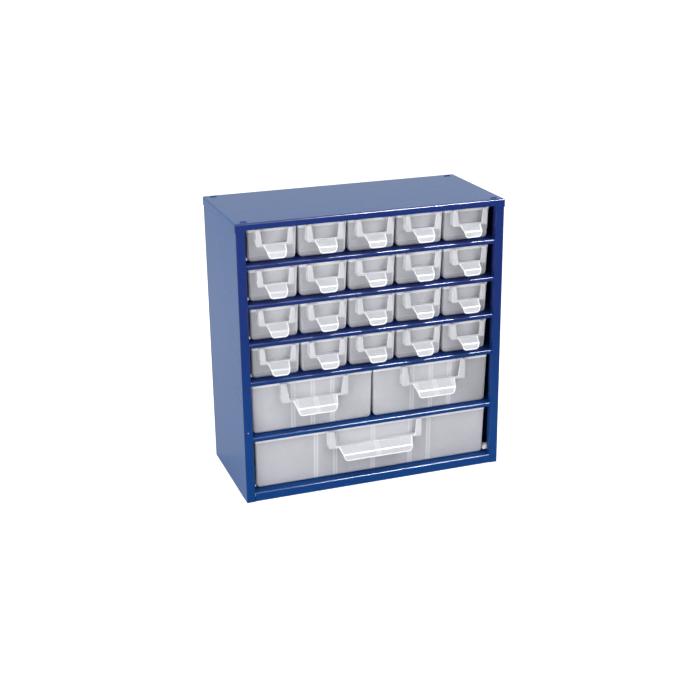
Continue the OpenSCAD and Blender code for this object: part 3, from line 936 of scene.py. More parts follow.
@dataclass
class Case:
    """The folded steel case: two side panels, back, base and shelves.

    The sizes are the sheet's own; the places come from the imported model.
    """

    paint: Material
    # Paint of the decks, where drawers have dulled it
    rubbed: Material
    sheet: float = 0.8
    bend: float = 0.6
    lip: float = 1.1
    post_w: float = 10.0
    post_fold: float = 8.0
    rear_fold: float = 12.0
    cover_rail: float = 7.2
    skirt: float = 9.5
    foot_fold: float = 12.0
    lip_h: float = 5.3
    lip_fold: float = 4.0
    end_h: float = 8.0
    end_l: float = 110.0
    notch_gap: float = 0.2
    hook_d: float = 2.4
    hook_z: float = 13.0
    rivet_hole: float = 3.3
    wall_hole: float = 5.5
    wall_pitch: float = 240.0
    hole_sides: int = 32
    edge: float = 0.16
    body: str = "case"

    def __post_init__(self) -> None:
        """Reads the places of the case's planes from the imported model."""
        cover_low, cover_high = corners("top_cover")
        back_high = corners("back_panel")[1]
        self.half = -cover_low.x
        self.front = cover_low.y
        self.rear = cover_high.y
        self.back = back_high.y
        self.panel_top = back_high.z
        self.half_t = self.sheet / 2
        self.top = self.panel_top + self.sheet + self.lip
        self.side_x = self.half - self.sheet
        self.end_x = self.side_x - self.sheet
        self.post_x = self.side_x - self.post_w
        self.rivet_x = self.side_x - self.rear_fold / 2
        # Middle of the sheet that lies in front of the back panel
        self.tail_y = self.back - self.sheet - self.half_t
        self.shelf_boxes = [corners(f"shelf_{i}") for i in range(1, 6)]
        self.decks = [corners("base_panel")[1].z]
        self.decks += [low.z + max(self.lip_h, self.end_h) for low, _ in self.shelf_boxes]

    def rivet_heights(self) -> list[float]:
        """Gives the heights of the rivets, at the middle of each bay."""
        tops = [deck - self.lip_h for deck in self.decks[1:]] + [self.top - self.cover_rail]
        return [(deck + top) / 2 for deck, top in zip(self.decks, tops)]

    def folded(self, name: str, points: Sequence[Point], radii: Sequence[float], run: Point) -> Blank:
        """Folds a sheet: a rounded section drawn on its centre line, run out and given its thickness.

        Args:
            name: Name of the piece.
            points: Corners of the section's centre line.
            radii: Inner radius of each bend.
            run: The way that the section is run out.

        Returns:
            The sheet.
        """
        blank = Blank.line(name, points, [radius + self.half_t for radius in radii])
        with blank.edit(everything=True):
            bpy.ops.mesh.select_mode(type="EDGE")
            blank.extrude(run)
            blank.turn_out(merge=0.001)
        blank.thicken(self.sheet, 0.0)
        return blank

    def punch(self, blank: Blank, middle: Point, way: Point, diameter: float) -> None:
        """Punches a round hole.

        Args:
            blank: The sheet.
            middle: Middle of the hole.
            way: Direction of the punch.
            diameter: Diameter of the hole.
        """
        turn = Vector(way).to_track_quat("Z", "Y").to_euler()
        punch = Blank.add("punch", "cylinder", vertices=self.hole_sides, radius=diameter / 2,
                          depth=4 * self.sheet, location=middle, rotation=turn)
        blank.join(punch, Join.CUT)

    def done(self, blank: Blank, node: str, decked: bool = False) -> None:
        """Eases a sheet's edges, paints it and parents it to its body.

        Args:
            blank: The sheet.
            node: The node that it stands for.
            decked: Whether drawers rub on it.
        """
        blank.ease_edges(self.edge)
        blank.smooth()
        blank.coat(self.paint)
        if decked:
            blank.obj.data.materials.append(self.rubbed)
            with blank.edit():
                blank.pick(Pick.FACES, lambda f: f.normal.z > 0.99 and any(
                    near(f.calc_center_median().z, deck, 0.05) for deck in self.decks))
                blank.assign(1)
        blank.finish(self.body, Slot.PAINT, node)

    def side_panel(self) -> Blank:
        """Builds the left side panel with its post and its rear fold.

        Returns:
            The panel.
        """
        fold_x = -self.post_x - self.half_t
        wall_x = -self.side_x + self.half_t
        post_y = self.front + self.half_t
        plan = [(fold_x, self.front + self.post_fold, 0), (fold_x, post_y, 0), (wall_x, post_y, 0),
                (wall_x, self.tail_y, 0), (-self.side_x + self.rear_fold, self.tail_y, 0)]
        panel = self.folded("steel_side_left", plan, [self.bend] * 3, (0, 0, self.panel_top))
        panel.cut_box((-self.half, self.front - OVER, self.top - self.cover_rail),
                      (0, self.front + self.sheet, self.top))
        hook_y = self.front + (self.post_fold + self.sheet) / 2
        for deck in self.decks:
            self.punch(panel, (fold_x, hook_y, deck + self.hook_z), (1, 0, 0), self.hook_d)
        for z in self.rivet_heights():
            self.punch(panel, (-self.rivet_x, self.tail_y, z), (0, 1, 0), self.rivet_hole)
        return panel

    def back_panel(self) -> Blank:
        """Builds the back panel with its rivet holes and the wall screws' holes.

        Returns:
            The panel.
        """
        panel = Blank.box("steel_back", (-self.side_x, self.back - self.sheet, 0),
                          (self.side_x, self.back, self.panel_top))
        heights = self.rivet_heights()
        for side in SIDES:
            for z in heights:
                self.punch(panel, (side * self.rivet_x, self.back, z), (0, 1, 0), self.rivet_hole)
            for z in (heights[0], heights[-1]):
                self.punch(panel, (side * self.wall_pitch / 2, self.back, z), (0, 1, 0), self.wall_hole)
        return panel

    def notch_posts(self, blank: Blank, low: float, high: float) -> None:
        """Notches a shelf or the base for the posts and the rear folds.

        Args:
            blank: The sheet.
            low: Lowest point of the notches.
            high: Highest point of the notches.
        """
        gap = self.notch_gap
        post = (self.post_x - gap, self.front - OVER, self.front + self.post_fold + gap)
        fold = (self.side_x - self.rear_fold - gap, self.back - 2 * self.sheet - gap, self.rear)
        for side in SIDES:
            for inner, front, rear in (post, fold):
                left, right = sorted((side * inner, side * self.half))
                blank.cut_box((left, front, low), (right, rear, high))

    def base_panel(self) -> Blank:
        """Builds the base: the lowest bay's floor, the bottom rail and the folds that it stands on.

        Returns:
            The base.
        """
        x, foot_z = self.end_x, self.half_t
        rail_y = self.front + self.half_t
        deck_z = self.decks[0] - self.half_t
        section = [(-x, self.front + self.foot_fold, foot_z), (-x, rail_y, foot_z), (-x, rail_y, deck_z),
                   (-x, self.tail_y, deck_z), (-x, self.tail_y, foot_z),
                   (-x, self.tail_y - self.foot_fold, foot_z)]
        base = self.folded("steel_base", section, [self.bend, self.lip, self.bend, self.bend], (2 * x, 0, 0))
        self.notch_posts(base, -OVER, self.decks[0] + OVER)
        return base

    def shelf(self, number: int) -> Blank:
        """Builds a shelf with its lip, its rear fold and the folds that weld it to the sides.

        Args:
            number: Which shelf, from the lowest.

        Returns:
            The shelf.
        """
        box_low, box_high = self.shelf_boxes[number - 1]
        x, deck = self.end_x, self.decks[number]
        deck_z = deck - self.half_t
        lip_y = box_low.y + self.half_t
        lip_z = deck - self.lip_h + self.half_t
        section = [(-x, box_low.y + self.lip_fold, lip_z), (-x, lip_y, lip_z), (-x, lip_y, deck_z),
                   (-x, self.tail_y, deck_z), (-x, self.tail_y, box_high.z)]
        shelf = self.folded(f"steel_shelf_{number}", section, [self.bend, self.lip, self.bend], (2 * x, 0, 0))
        middle = (self.front + self.rear) / 2
        for side in SIDES:
            left, right = sorted((side * (x - self.sheet), side * x))
            fold = Blank.box("end_fold", (left, middle - self.end_l / 2, deck - self.end_h),
                             (right, middle + self.end_l / 2, deck_z))
            shelf.join(fold, Join.ADD)
        self.notch_posts(shelf, deck - self.end_h - OVER, box_high.z + OVER)
        return shelf

    def build(self) -> None:
        """Builds and paints every sheet of the case but the cover."""
        left = self.side_panel()
        self.done(left.mirror_x("steel_side_right"), "side_panel_right")
        self.done(left, "side_panel_left")
        self.done(self.back_panel(), "back_panel")
        self.done(self.base_panel(), "base_panel", decked=True)
        for number in range(1, len(self.shelf_boxes) + 1):
            self.done(self.shelf(number), f"shelf_{number}", decked=True)


@dataclass
class Cover:
    """The top cover: a folded tray with a front rail, skirts and four stacking dimples."""

    case: Case
    corner: float = 1.2
    dimple_l: float = 9.0
    dimple_w: float = 4.0
    dimple_h: float = 1.2
    dimple_side: float = 11.0
    dimple_end: float = 7.0
    dimple_sides: int = 26
    seat: float = 0.4
    # Width and rise of each step from a dimple's foot to its crown, as shares of its half width and height
    steps: tuple[tuple[float, float], ...] = ((0.10, 0.06), (0.12, 0.19), (0.12, 0.25), (0.13, 0.22),
                                              (0.15, 0.16), (0.16, 0.09), (0.12, 0.03))

    def dimple(self, x: float, y: float) -> Blank:
        """Builds one dimple as a solid seated in the sheet.

        Args:
            x: Its middle across the case.
            y: Its middle along the case.

        Returns:
            The dimple.
        """
        half_w = self.dimple_w / 2
        run = (self.dimple_l - self.dimple_w) / 2
        dimple = Blank.add("dimple", "circle", vertices=self.dimple_sides, radius=half_w, fill_type="NGON",
                           location=(x, y, self.case.top - self.seat))
        for side in SIDES:
            dimple.move(lambda v: (v.co.x - x) * side > 0.01, (side * run, 0, 0))
        with dimple.edit():
            dimple.pick(Pick.FACES, lambda f: True)
            dimple.extrude((0, 0, self.seat))
            for width, rise in self.steps:
                bpy.ops.mesh.inset(thickness=width * half_w, depth=rise * self.dimple_h)
            dimple.turn_out()
        return dimple

    def build(self) -> None:
        """Builds and paints the cover."""
        case = self.case
        low = case.top - case.skirt
        tray = Blank.box("steel_cover", (-case.half, case.front, low), (case.half, case.rear, case.top))
        tray.delete_faces(lambda f: f.normal.z < -0.5)
        tray.fillet((case.lip + case.sheet, lambda e: level(e, case.top)),
                    (self.corner, lambda e: not near(e.verts[0].co.z, e.verts[1].co.z)))
        tray.thicken(case.sheet, -1.0)
        tray.cut_box((-case.half - OVER, case.front - OVER, low - OVER),
                     (case.half + OVER, case.front + case.sheet, case.top - case.cover_rail))
        for side in SIDES:
            for y in (case.front + self.dimple_end, case.rear - self.dimple_end):
                tray.join(self.dimple(side * (case.half - self.dimple_side), y), Join.ADD)
        case.done(tray, "top_cover")


@dataclass
class Fixings:
    """The nylon corner guides and the rivets at the back."""

    case: Case
    guide_z: float = 3.0
    guide_h: float = 5.5
    guide_l: float = 8.0
    guide_y: float = 9.5
    guide_gap: float = 0.6
    side_lean: float = 1.0
    guide_edge: float = 0.9
    rivet_head: float = 6.4
    rivet_end: float = 4.6
    rivet_end_l: float = 1.5
    rivet_taper: float = 0.4
    rivet_shank: float = 3.2
    rivet_edge: float = 0.12
    rivet_sides: int = 24

    def guide(self, deck: float, drawer: str, side: int) -> Blank:
        """Builds one corner guide on the right or left side panel.

        Args:
            deck: Height of its bay's floor.
            drawer: The drawer that it lies beside.
            side: 1 for the right side panel and -1 for the left.

        Returns:
            The guide.
        """
        case = self.case
        low, high = corners(drawer)
        reach = max(-low.x, high.x) - self.side_lean + self.guide_gap
        left, right = sorted((side * reach, side * case.end_x))
        y, base = case.front + self.guide_y, deck + self.guide_z
        guide = Blank.box("guide", (left, y, base), (right, y + self.guide_l, base + self.guide_h))
        guide.move(lambda v: abs(v.co.x) < reach + 0.01 and v.co.z > base + OVER,
                   (side * self.guide_h / 2, 0, 0))
        guide.ease_edges(self.guide_edge, segments=4)
        return guide

    def rivet(self) -> Blank:
        """Builds one rivet, its head to the back, with its shank's middle line through the origin.

        Returns:
            The rivet.
        """
        sheet = self.case.sheet
        head, shank, end = self.rivet_head / 2, self.rivet_shank / 2, self.rivet_end / 2
        grip = -2 * sheet
        tail = grip - self.rivet_end_l
        profile = [(0, sheet), (head * 0.7, sheet), (head * 0.93, sheet * 0.55), (head, 0), (shank, 0),
                   (shank, grip), (end, grip), (end, tail + self.rivet_end_l / 5),
                   (end - self.rivet_taper, tail), (0, tail)]
        rivet = Blank.line("rivet", [(r, y, 0) for r, y in profile])
        with rivet.edit(everything=True):
            bpy.ops.mesh.spin(steps=self.rivet_sides, angle=math.tau, center=(0, 0, 0), axis=(0, 1, 0))
            rivet.turn_out(merge=0.005)
        rivet.ease_edges(self.rivet_edge, segments=2)
        rivet.smooth()
        return rivet

    def build(self, nylon: Material, metal: Material) -> None:
        """Builds the guides and the rivets.

        Args:
            nylon: The guides' material.
            metal: The rivets' material.
        """
        case = self.case
        small = [(deck, f"small_drawer_{row}_1", -1) for row, deck in enumerate(case.decks[:1:-1], start=1)]
        large = [(case.decks[0], "large_drawer", side) for side in SIDES]
        guides = Blank.group("nylon_corner_guides", [self.guide(*place) for place in small + large])
        guides.smooth()
        guides.coat(nylon)
        guides.finish(case.body, Slot.NYLON, "corner_guides")

        pattern = self.rivet()
        places = [(side * case.rivet_x, case.back, z) for side in SIDES for z in case.rivet_heights()]
        rivets = Blank.group("rivets_back", [pattern.copy("rivet", place) for place in places])
        rivets.coat(metal)
        rivets.finish(case.body, Slot.RIVET, "back_rivets")
        pattern.scrap()


# ---- Drawers ----


class Zone(Enum):
    """Where on a drawer a plastic material lies, and its index in the mesh."""

    WALL = 0
    FRAME = 1
    # Rims, beads and eased edges, in a paler plastic: painted highlight
    EDGE = 2
    PANEL = 3


@dataclass(frozen=True)
class Front:
    """Sizes of a drawer's label frame and pull, as widths across and heights above its floor."""

    frame_w: float
    frame_z: float
    window_top_w: float
    window_low_w: float
    window_z: float
    pull_top_w: float
    pull_low_w: float
    ramp_z: float
    tip_z: float


@dataclass
class Drawer:
    """One kind of drawer: a moulded tub with a label frame, a pull, stop lugs and divider ribs.

    Its own frame has the front rim's middle at x = 0 and y = 0 and its floor at z = 0.
    """

    PLACE = "drawer_place"

    kind: str
    nodes: list[str]
    front: Front
    plastics: dict[Zone, Material]
    upright_r: float = 2.2
    front_r: float = 2.4
    # Numbers of the rib pairs, counted in pitches from the middle
    rib_places: tuple[int, ...] = ()
    side_r: float = 5.0
    wall: float = 1.4
    side_lean: float = 1.0
    front_lean: float = 2.7
    rear_lean: float = 1.5
    rim_h: float = 4.1
    rim_t: float = 0.35
    edge: float = 0.35
    recess: float = 8.7
    frame_t: float = 1.3
    frame_r: float = 1.2
    # How far the window's cut runs past the frame's face
    window_cut: float = 0.4
    pull_t: float = 1.5
    pull_reach: float = 10.0
    pull_r: float = 3.0
    pull_knee_r: float = 1.6
    # How far the pull's foot is sunk into the label frame
    pull_root: float = 0.7
    pull_steps: int = 5
    lip_lean: float = 0.8
    bead_w: float = 1.3
    bead_h: float = 0.45
    # Width of the bead where the pull meets the label frame
    bead_root: float = 0.2
    stop_h: float = 3.0
    stop_l: float = 8.0
    stop_inset: float = 26.0
    # How far a lug is sunk into the rim
    stop_root: float = 0.2
    slot_w: float = 2.4
    rib_t: float = 1.1
    rib_depth: float = 2.0
    pitch: float = 22.7

    def __post_init__(self) -> None:
        """Reads the drawer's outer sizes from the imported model."""
        low, high = corners(self.nodes[0])
        self.w = high.x - low.x
        self.h = high.z - low.z - self.stop_h
        self.length = high.y - low.y - self.recess - self.pull_reach

    def wall_y(self, z: float) -> float:
        """Gives the place of the front wall's outer face at a height."""
        return self.front_lean * (1 - z / self.h)

    def dress(self, blank: Blank, zone: Zone) -> Blank:
        """Gives a part of the moulding every plastic and puts all of it in one zone.

        Args:
            blank: The part.
            zone: The zone.

        Returns:
            The part.
        """
        blank.coat(*self.plastics.values())
        with blank.edit(everything=True):
            blank.assign(zone.value)
        return blank

    def tub(self) -> Blank:
        """Builds the tub: a box with leaning walls and rounded lower edges, hollowed to its wall.

        Returns:
            The tub.
        """
        half = self.w / 2
        tub = Blank.box(f"drawer_{self.kind}", (-half, 0, 0), (half, self.length, self.h))
        for test, way in ((lambda v: v.co.x < 0, (self.side_lean, 0, 0)),
                          (lambda v: v.co.x > 0, (-self.side_lean, 0, 0)),
                          (lambda v: v.co.y < OVER, (0, self.front_lean, 0)),
                          (lambda v: v.co.y > self.length / 2, (0, -self.rear_lean, 0))):
            tub.move(lambda v: near(v.co.z, 0) and test(v), way)
        tub.delete_faces(lambda f: f.normal.z > 0.5)

        def along(edge: Edge) -> bool:
            """Says whether an edge runs from front to back."""
            return abs(edge.verts[0].co.y - edge.verts[1].co.y) > self.length / 2

        tub.fillet((self.side_r, lambda e: level(e, 0) and along(e)),
                   (self.front_r, lambda e: level(e, 0) and not along(e)),
                   (self.upright_r, lambda e: not near(e.verts[0].co.z, e.verts[1].co.z, OVER)))
        tub.thicken(self.wall, -1.0)
        self.dress(tub, Zone.WALL)
        with tub.edit(everything=True):
            bpy.ops.mesh.bisect(plane_co=(0, 0, self.h - self.rim_h), plane_no=(0, 0, 1))
            # The band along the rim stands out and takes the edge zone: a painted highlight along the rim
            tub.pick(Pick.FACES, self.on_rim)
            bpy.ops.mesh.extrude_region_shrink_fatten(TRANSFORM_OT_shrink_fatten={"value": self.rim_t})
            tub.assign(Zone.EDGE.value)
        return tub

    def on_rim(self, face: bmesh.types.BMFace) -> bool:
        """Says whether a face of the tub is on the outside, along the rim.

        Args:
            face: The face.

        Returns:
            Whether it is.
        """
        middle = face.calc_center_median()
        outwards = (middle - Vector((0, self.length / 2, middle.z))).dot(face.normal) > 0
        return outwards and middle.z > self.h - self.rim_h and abs(face.normal.z) < 0.5

    def label_frame(self) -> Blank:
        """Builds the label frame: a shallow pocket, open above, with a window in its face.

        Returns:
            The frame.
        """
        front = self.front
        half, foot = front.frame_w / 2, front.frame_z
        pocket = Blank.box("label_frame", (-half, -self.recess, foot), (half, self.wall / 2, self.h))
        pocket.move(lambda v: v.co.y > 0 and v.co.z < self.h - OVER, (0, self.wall_y(foot), 0))
        pocket.delete_faces(lambda f: f.normal.z > 0.5 or f.normal.y > 0.5)
        pocket.fillet((self.frame_r, lambda e: level(e, foot) and near(abs(e.verts[0].co.x), half)
                       and near(e.verts[0].co.x, e.verts[1].co.x)), segments=4)
        pocket.thicken(self.frame_t, -1.0)
        grow = (front.window_top_w - front.window_low_w) / 2 / (self.h - front.window_z)
        top_half = front.window_top_w / 2 + grow * OVER
        window = Blank.box("window", (-top_half, -self.recess - OVER, front.window_z),
                           (top_half, -self.recess + self.frame_t + self.window_cut, self.h + OVER))
        pinch = top_half - front.window_low_w / 2
        for side in SIDES:
            window.move(lambda v: v.co.x * side > 0 and v.co.z < self.h, (-side * pinch, 0, 0))
        window.fillet((self.frame_r, lambda e: level(e, front.window_z)
                       and not near(e.verts[0].co.y, e.verts[1].co.y)), segments=4)
        pocket.join(window, Join.CUT)
        self.dress(pocket, Zone.WALL)
        with pocket.edit():
            # The frame's side faces take the paler frame zone: painted light on them
            pocket.pick(Pick.FACES, lambda f: abs(f.normal.x) > 0.9)
            pocket.assign(Zone.FRAME.value)
        return pocket

    def pull(self) -> Blank:
        """Builds the pull: a tongue that slopes forward and turns down to a lip with a raised bead.

        Returns:
            The pull.
        """
        front = self.front
        tip_y = -self.recess - self.pull_reach + self.pull_t / 2
        knee_y = tip_y + self.lip_lean
        foot = Vector((0, -self.recess + self.pull_t / 4, front.frame_z + self.pull_t / 2))
        slope = (foot - Vector((0, knee_y, front.ramp_z))).normalized()
        _, root_y, root_z = foot + slope * self.pull_root
        rise = front.frame_z + self.pull_t - front.tip_z
        narrow = (front.pull_top_w - front.pull_low_w) / 2 / rise

        def half_at(z: float) -> float:
            """Gives half the pull's width at a height."""
            return front.pull_low_w / 2 + narrow * (z - front.tip_z)

        pull = Blank.line("pull", [(side * half_at(root_z), root_y, root_z) for side in SIDES])
        with pull.edit():
            y, z = root_y, root_z
            for next_y, next_z in ((knee_y, front.ramp_z), (tip_y, front.tip_z)):
                pull.pick(Pick.EDGES, lambda e: level(e, z))
                pull.extrude((0, next_y - y, next_z - z))
                scale = half_at(next_z) / half_at(z)
                bpy.ops.transform.resize(value=(scale, 1, 1), center_override=(0, next_y, next_z))
                y, z = next_y, next_z
            pull.pick(Pick.EDGES, lambda e: level(e, front.ramp_z))
            bpy.ops.mesh.bevel(offset=self.pull_knee_r, segments=self.pull_steps, affect="EDGES")
            pull.pick(Pick.VERTS, lambda v: near(v.co.z, front.tip_z))
            bpy.ops.mesh.bevel(offset=self.pull_r, segments=self.pull_steps, affect="VERTICES")
            pull.turn_out()
            pull.pick(Pick.FACES, lambda f: f.normal.y > 0)
            bpy.ops.mesh.flip_normals()
        pull.thicken(self.pull_t, 0.0)
        self.dress(pull, Zone.FRAME)
        with pull.edit():
            # The front faces take the edge zone; after the inset only the bead round them keeps it, as a
            # painted highlight
            pull.pick(Pick.FACES,
                      lambda f: f.normal.y < -0.3 and f.normal.z > -0.35 and abs(f.normal.x) < 0.3)
            pull.assign(Zone.EDGE.value)
            bpy.ops.mesh.inset(thickness=self.bead_w, depth=-self.bead_h, use_boundary=True)
            pull.assign(Zone.PANEL.value)
            top = max(v.co.z for v in bmesh.from_edit_mesh(pull.obj.data).verts if v.select)
            pull.pick(Pick.VERTS, lambda v: near(v.co.z, top, 0.1)
                      and any(f.material_index == Zone.PANEL.value for f in v.link_faces))
            bpy.ops.transform.translate(value=slope * (self.bead_w - self.bead_root))
        return pull

    def lug(self, side: int) -> Blank:
        """Builds the stop lug on one side wall's rim.

        Args:
            side: 1 for the right wall and -1 for the left.

        Returns:
            The lug.
        """
        left, right = sorted((side * (self.w / 2 - self.wall), side * self.w / 2))
        y = self.length - self.stop_inset
        lug = Blank.box("lug", (left, y, self.h - self.stop_root),
                        (right, y + self.stop_l, self.h + self.stop_h))
        lug.move(lambda v: v.co.z > self.h and v.co.y > y + OVER, (0, -self.stop_l / 2, 0))
        return lug

    def ribs(self) -> list[Blank]:
        """Builds the pairs of ribs inside the front and rear walls that hold dividers.

        Returns:
            The ribs.
        """
        made = []
        low, high = self.wall / 2, self.h - self.stop_h
        depth = self.wall / 2 + self.rib_depth
        front = self.wall_y(high) + self.wall / 2
        rear = self.length - self.rear_lean * (1 - high / self.h) - self.wall / 2
        fall = (high - low) / self.h
        ends = ((front, front + depth, self.front_lean * fall), (rear - depth, rear, -self.rear_lean * fall))
        for place in self.rib_places:
            for side in SIDES:
                x = place * self.pitch + side * (self.slot_w + self.rib_t) / 2
                for near_y, far_y, drift in ends:
                    rib = Blank.box("rib", (x - self.rib_t / 2, near_y, low),
                                    (x + self.rib_t / 2, far_y, high))
                    rib.move(lambda v: v.co.z < low + OVER, (0, drift, 0))
                    made.append(rib)
        return made

    def mark_place(self, blank: Blank) -> None:
        """Keeps each point's place in the drawer's own frame, in metres, for the materials.

        Args:
            blank: The drawer.
        """
        mesh = blank.obj.data
        layer = mesh.attributes.new(self.PLACE, "FLOAT_VECTOR", "POINT")
        layer.data.foreach_set("vector", [value * MM for vertex in mesh.vertices for value in vertex.co])

    def pattern(self) -> Blank:
        """Builds the whole moulding once.

        Returns:
            The drawer in its own frame.
        """
        small = [self.lug(side) for side in SIDES] + self.ribs()
        walls = [self.dress(blank, Zone.WALL) for blank in small]
        pocket = self.label_frame()
        whole, *others = [self.tub(), *walls, pocket, self.pull()]
        # Eased edges take the edge zone, a painted highlight, and on the label frame the frame zone
        for blank in (whole, *others):
            zone = Zone.FRAME if blank is pocket else Zone.EDGE
            blank.ease_edges(self.edge, material=zone.value)
        for other in others:
            whole.join(other, Join.ADD)
        whole.smooth()
        self.mark_place(whole)
        return whole

    def build(self) -> None:
        """Builds every drawer of this kind."""
        pattern = self.pattern()
        for node in self.nodes:
            low, high = corners(node)
            way = ((low.x + high.x) / 2, low.y + self.recess + self.pull_reach, low.z)
            pattern.copy(f"moulded_{node}", way).finish(node, Slot.PLASTIC, node)
        pattern.scrap()


SMALL_FRONT = Front(frame_w=40.0, frame_z=18.7, window_top_w=31.0, window_low_w=27.0, window_z=21.3,
                    pull_top_w=24.6, pull_low_w=17.7, ramp_z=14.2, tip_z=7.5)
MEDIUM_FRONT = Front(frame_w=76.0, frame_z=36.0, window_top_w=66.0, window_low_w=59.0, window_z=38.6,
                     pull_top_w=52.0, pull_low_w=41.5, ramp_z=29.5, tip_z=22.2)
LARGE_FRONT = Front(frame_w=111.0, frame_z=38.2, window_top_w=99.0, window_low_w=95.0, window_z=40.8,
                    pull_top_w=89.0, pull_low_w=79.0, ramp_z=31.4, tip_z=25.2)


def plastics(kind: str, front: Front, ribs: RibPattern | None = None, paler: float = 0.0,
             **wall: float) -> dict[Zone, Material]:
    """Makes the plastic materials of one kind of drawer.

    Args:
        kind: Name of the kind.
        front: Sizes of its label frame and pull.
        ribs: The ribs that show through, if it has any.
        paler: Painted light: how much paler its pull, its label frame and the wall behind that are.
        wall: The painted shade and light on the wall.

    Returns:
        The material of each zone.
    """
    pocket = (front.frame_w / 2 * MM, front.frame_z * MM)
    finishes = {
        Zone.WALL: Plastic(f"plastic_wall_{kind}", rgb(0.53, 0.53, 0.57), rgb(0.48, 0.48, 0.51), ribs,
                           rib_show=0.42, pocket=pocket, pocket_light=0.15 + paler, milky=0.7,
                           roughness=0.32, **wall),
        Zone.FRAME: Plastic(f"plastic_frame_{kind}", rgb(0.72, 0.73, 0.75, paler),
                            rgb(0.67, 0.68, 0.69, paler), ribs, rib_show=0.15, roughness=0.28),
        # The edge zone's paler plastic is a painted highlight
        Zone.EDGE: Plastic(f"plastic_edge_highlight_{kind}", rgb(0.90, 0.91, 0.93), rgb(0.86, 0.87, 0.89),
                           roughness=0.22),
        Zone.PANEL: Plastic(f"plastic_panel_{kind}", rgb(0.60, 0.61, 0.64), rgb(0.56, 0.57, 0.59), ribs,
                            rib_show=0.3, milky=0.6, roughness=0.2),
    }
    return {zone: finish.material() for zone, finish in finishes.items()}


def drawers() -> list[Drawer]:
    """Lists the three kinds of drawer with their nodes.

    Returns:
        The kinds.
    """
    small = [f"small_drawer_{row}_{column}" for row in range(1, 5) for column in range(1, 6)]
    medium = [f"medium_drawer_{column}" for column in (1, 2)]
    return [
        Drawer("small", small, SMALL_FRONT,
               plastics("small", SMALL_FRONT, floor_shade=0.08, corner_x=0.0243, greyer=0.3),
               upright_r=2.6, front_r=3.0),
        Drawer("medium", medium, MEDIUM_FRONT,
               plastics("medium", MEDIUM_FRONT, RibPattern(reach=1.0), greyer=0.3), rib_places=(-1, 0, 1)),
        Drawer("large", ["large_drawer"], LARGE_FRONT,
               plastics("large", LARGE_FRONT, RibPattern(reach=3.0, skip=1.0), paler=0.12),
               rib_places=(-3, -2, 0, 2, 3)),
    ]


# ---- Studio ----


@dataclass(frozen=True)
class Softbox:
    """A rectangular lamp, in metres and watts; one that lights nothing shows in the gloss alone."""

    name: str
    place: Point
    width: float
    height: float
    power: float
    lights: bool = True
    tone: Point = (1.0, 1.0, 1.0)

    def build(self, target: Point) -> None:
        """Hangs the lamp.

        Args:
            target: The point that it is aimed at.
        """
        lamp = bpy.data.lights.new(self.name, "AREA")
        lamp.shape = "RECTANGLE"
        lamp.size, lamp.size_y = self.width, self.height
        lamp.energy, lamp.color = self.power, self.tone
        holder = bpy.data.objects.new(self.name, lamp)
        holder.visible_diffuse = self.lights
        bpy.context.scene.collection.objects.link(holder)
        holder.location = self.place
        holder.rotation_mode = "QUATERNION"
        holder.rotation_quaternion = (Vector(target) - Vector(self.place)).to_track_quat("-Z", "Y")


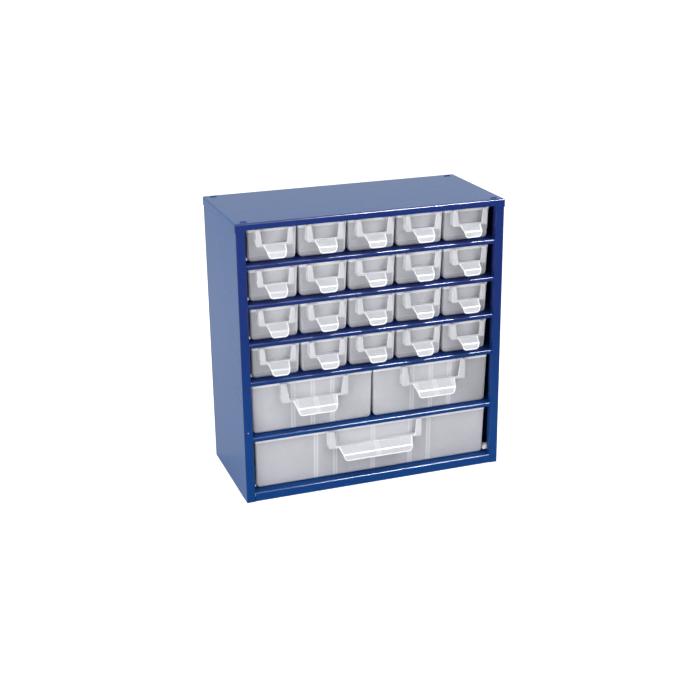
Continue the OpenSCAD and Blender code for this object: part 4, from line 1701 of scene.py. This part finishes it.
@dataclass(frozen=True)
class Studio:
    """The pale floor, the white surroundings, the dark card and the lamps."""

    floor_size: float = 14.0
    floor_colour: Colour = grey(0.9)
    floor_gloss: Colour = grey(0.7)
    floor_lift: float = 0.60
    ambient: float = 0.66
    gloss: float = 0.62
    front_gloss: float = 0.20
    # Headings, as the Y of a way, between which the gloss turns from the front's to the rest's
    gloss_from: float = -0.75
    gloss_to: float = -0.15
    card_colour: Colour = grey(0.02)
    card_low: Point = (-1.6, -2.4, 0.001)
    card_high: Point = (2.4, -0.066, 0.002)
    target: Point = (0.0, -0.03, 0.16)
    lamps: tuple[Softbox, ...] = (
        Softbox("key", (0.47, -0.95, 0.98), width=0.8, height=0.8, power=6.3),
        Softbox("glint", (0.51, -0.79, 1.12), width=0.38, height=0.26, power=36.0, lights=False,
                tone=(0.86, 0.88, 1.0)),
        Softbox("fill", (-1.3, -1.1, 0.55), width=1.2, height=0.8, power=13.5),
        Softbox("top", (0.1, 0.25, 1.6), width=1.2, height=1.0, power=2.0),
    )

    def world(self) -> None:
        """Makes the surroundings white to the camera, paler or darker in the gloss, and plain otherwise."""
        world = bpy.data.worlds.new("studio")
        bpy.context.scene.world = world
        world.use_nodes = True
        wiring = Wiring(world.node_tree)
        glossy, seen = wiring.rays()
        way = wiring.split(wiring.node("TexCoord").outputs["Generated"])
        gloss = wiring.ramp(way["Y"], self.gloss_from, self.gloss_to, self.front_gloss, self.gloss)
        colour = wiring.mix(glossy, grey(self.ambient), gloss)
        background = world.node_tree.nodes["Background"]
        wiring.feed(background.inputs["Color"], wiring.mix(seen, colour, grey(1.0)))

    def floor(self) -> None:
        """Lays the pale floor, which keeps the cabinet's shadow."""
        floor = Blank.add("floor", "plane", size=self.floor_size, location=(0, 0, 0)).obj
        made = Surface("pale_floor")
        glossy, seen = made.rays()
        made.set(Base_Color=made.mix(glossy, self.floor_colour, self.floor_gloss), Roughness=0.9,
                 Specular_IOR_Level=0.0, Emission_Color=grey(1.0),
                 Emission_Strength=made.times(seen, self.floor_lift))
        floor.data.materials.append(made.material)

    def dark_card(self) -> None:
        """Lays a dark card in front of the cabinet that only its gloss sees."""
        card = Blank.box("dark_card", self.card_low, self.card_high).obj
        made = Surface("dark_card")
        made.set(Base_Color=self.card_colour, Specular_IOR_Level=0.0)
        card.data.materials.append(made.material)
        for ray in ("camera", "diffuse", "transmission", "shadow"):
            setattr(card, f"visible_{ray}", False)

    def build(self) -> None:
        """Builds the studio and sets the plain view transform."""
        bpy.context.scene.view_settings.view_transform = "Standard"
        self.world()
        self.floor()
        self.dark_card()
        for lamp in self.lamps:
            lamp.build(self.target)


@dataclass(frozen=True)
class Camera:
    """The camera: angles in radians, lengths in metres, focal length in widths of the picture."""

    azimuth: float = -0.3405
    elevation: float = 0.3474
    roll: float = -0.01199
    distance: float = 1.4653
    target: Point = (-0.00673, 0.0, 0.13887)
    focal: float = 1.82325
    sensor: float = 36.0

    def build(self) -> None:
        """Places the camera and makes it the scene's."""
        turn = Matrix.Rotation(self.azimuth, 4, "Z")
        turn @= Matrix.Rotation(math.pi / 2 - self.elevation, 4, "X")
        turn @= Matrix.Rotation(self.roll, 4, "Z")
        data = bpy.data.cameras.new("camera")
        data.sensor_width = self.sensor
        data.lens = self.focal * self.sensor
        data.clip_start, data.clip_end = 0.05, 50.0
        camera = bpy.data.objects.new("camera", data)
        bpy.context.scene.collection.objects.link(camera)
        turn.translation = Vector(self.target) + turn.col[2].xyz * self.distance
        camera.matrix_world = turn
        bpy.context.scene.camera = camera


# ---- Whole cabinet ----


def main() -> None:
    """Builds the cabinet piece by piece, then the studio round it."""
    logging.basicConfig(level=logging.INFO, format="%(name)s %(message)s")
    rubbed = Enamel("blue_enamel_rubbed", ior=1.12, roughness=0.3)
    case = Case(Enamel("blue_enamel").material(), rubbed.material())
    case.build()
    Cover(case).build()
    Fixings(case).build(Nylon().material(), RivetMetal().material())
    for drawer in drawers():
        drawer.build()
    Studio().build()
    Camera().build()


if __name__ == "__main__":
    main()
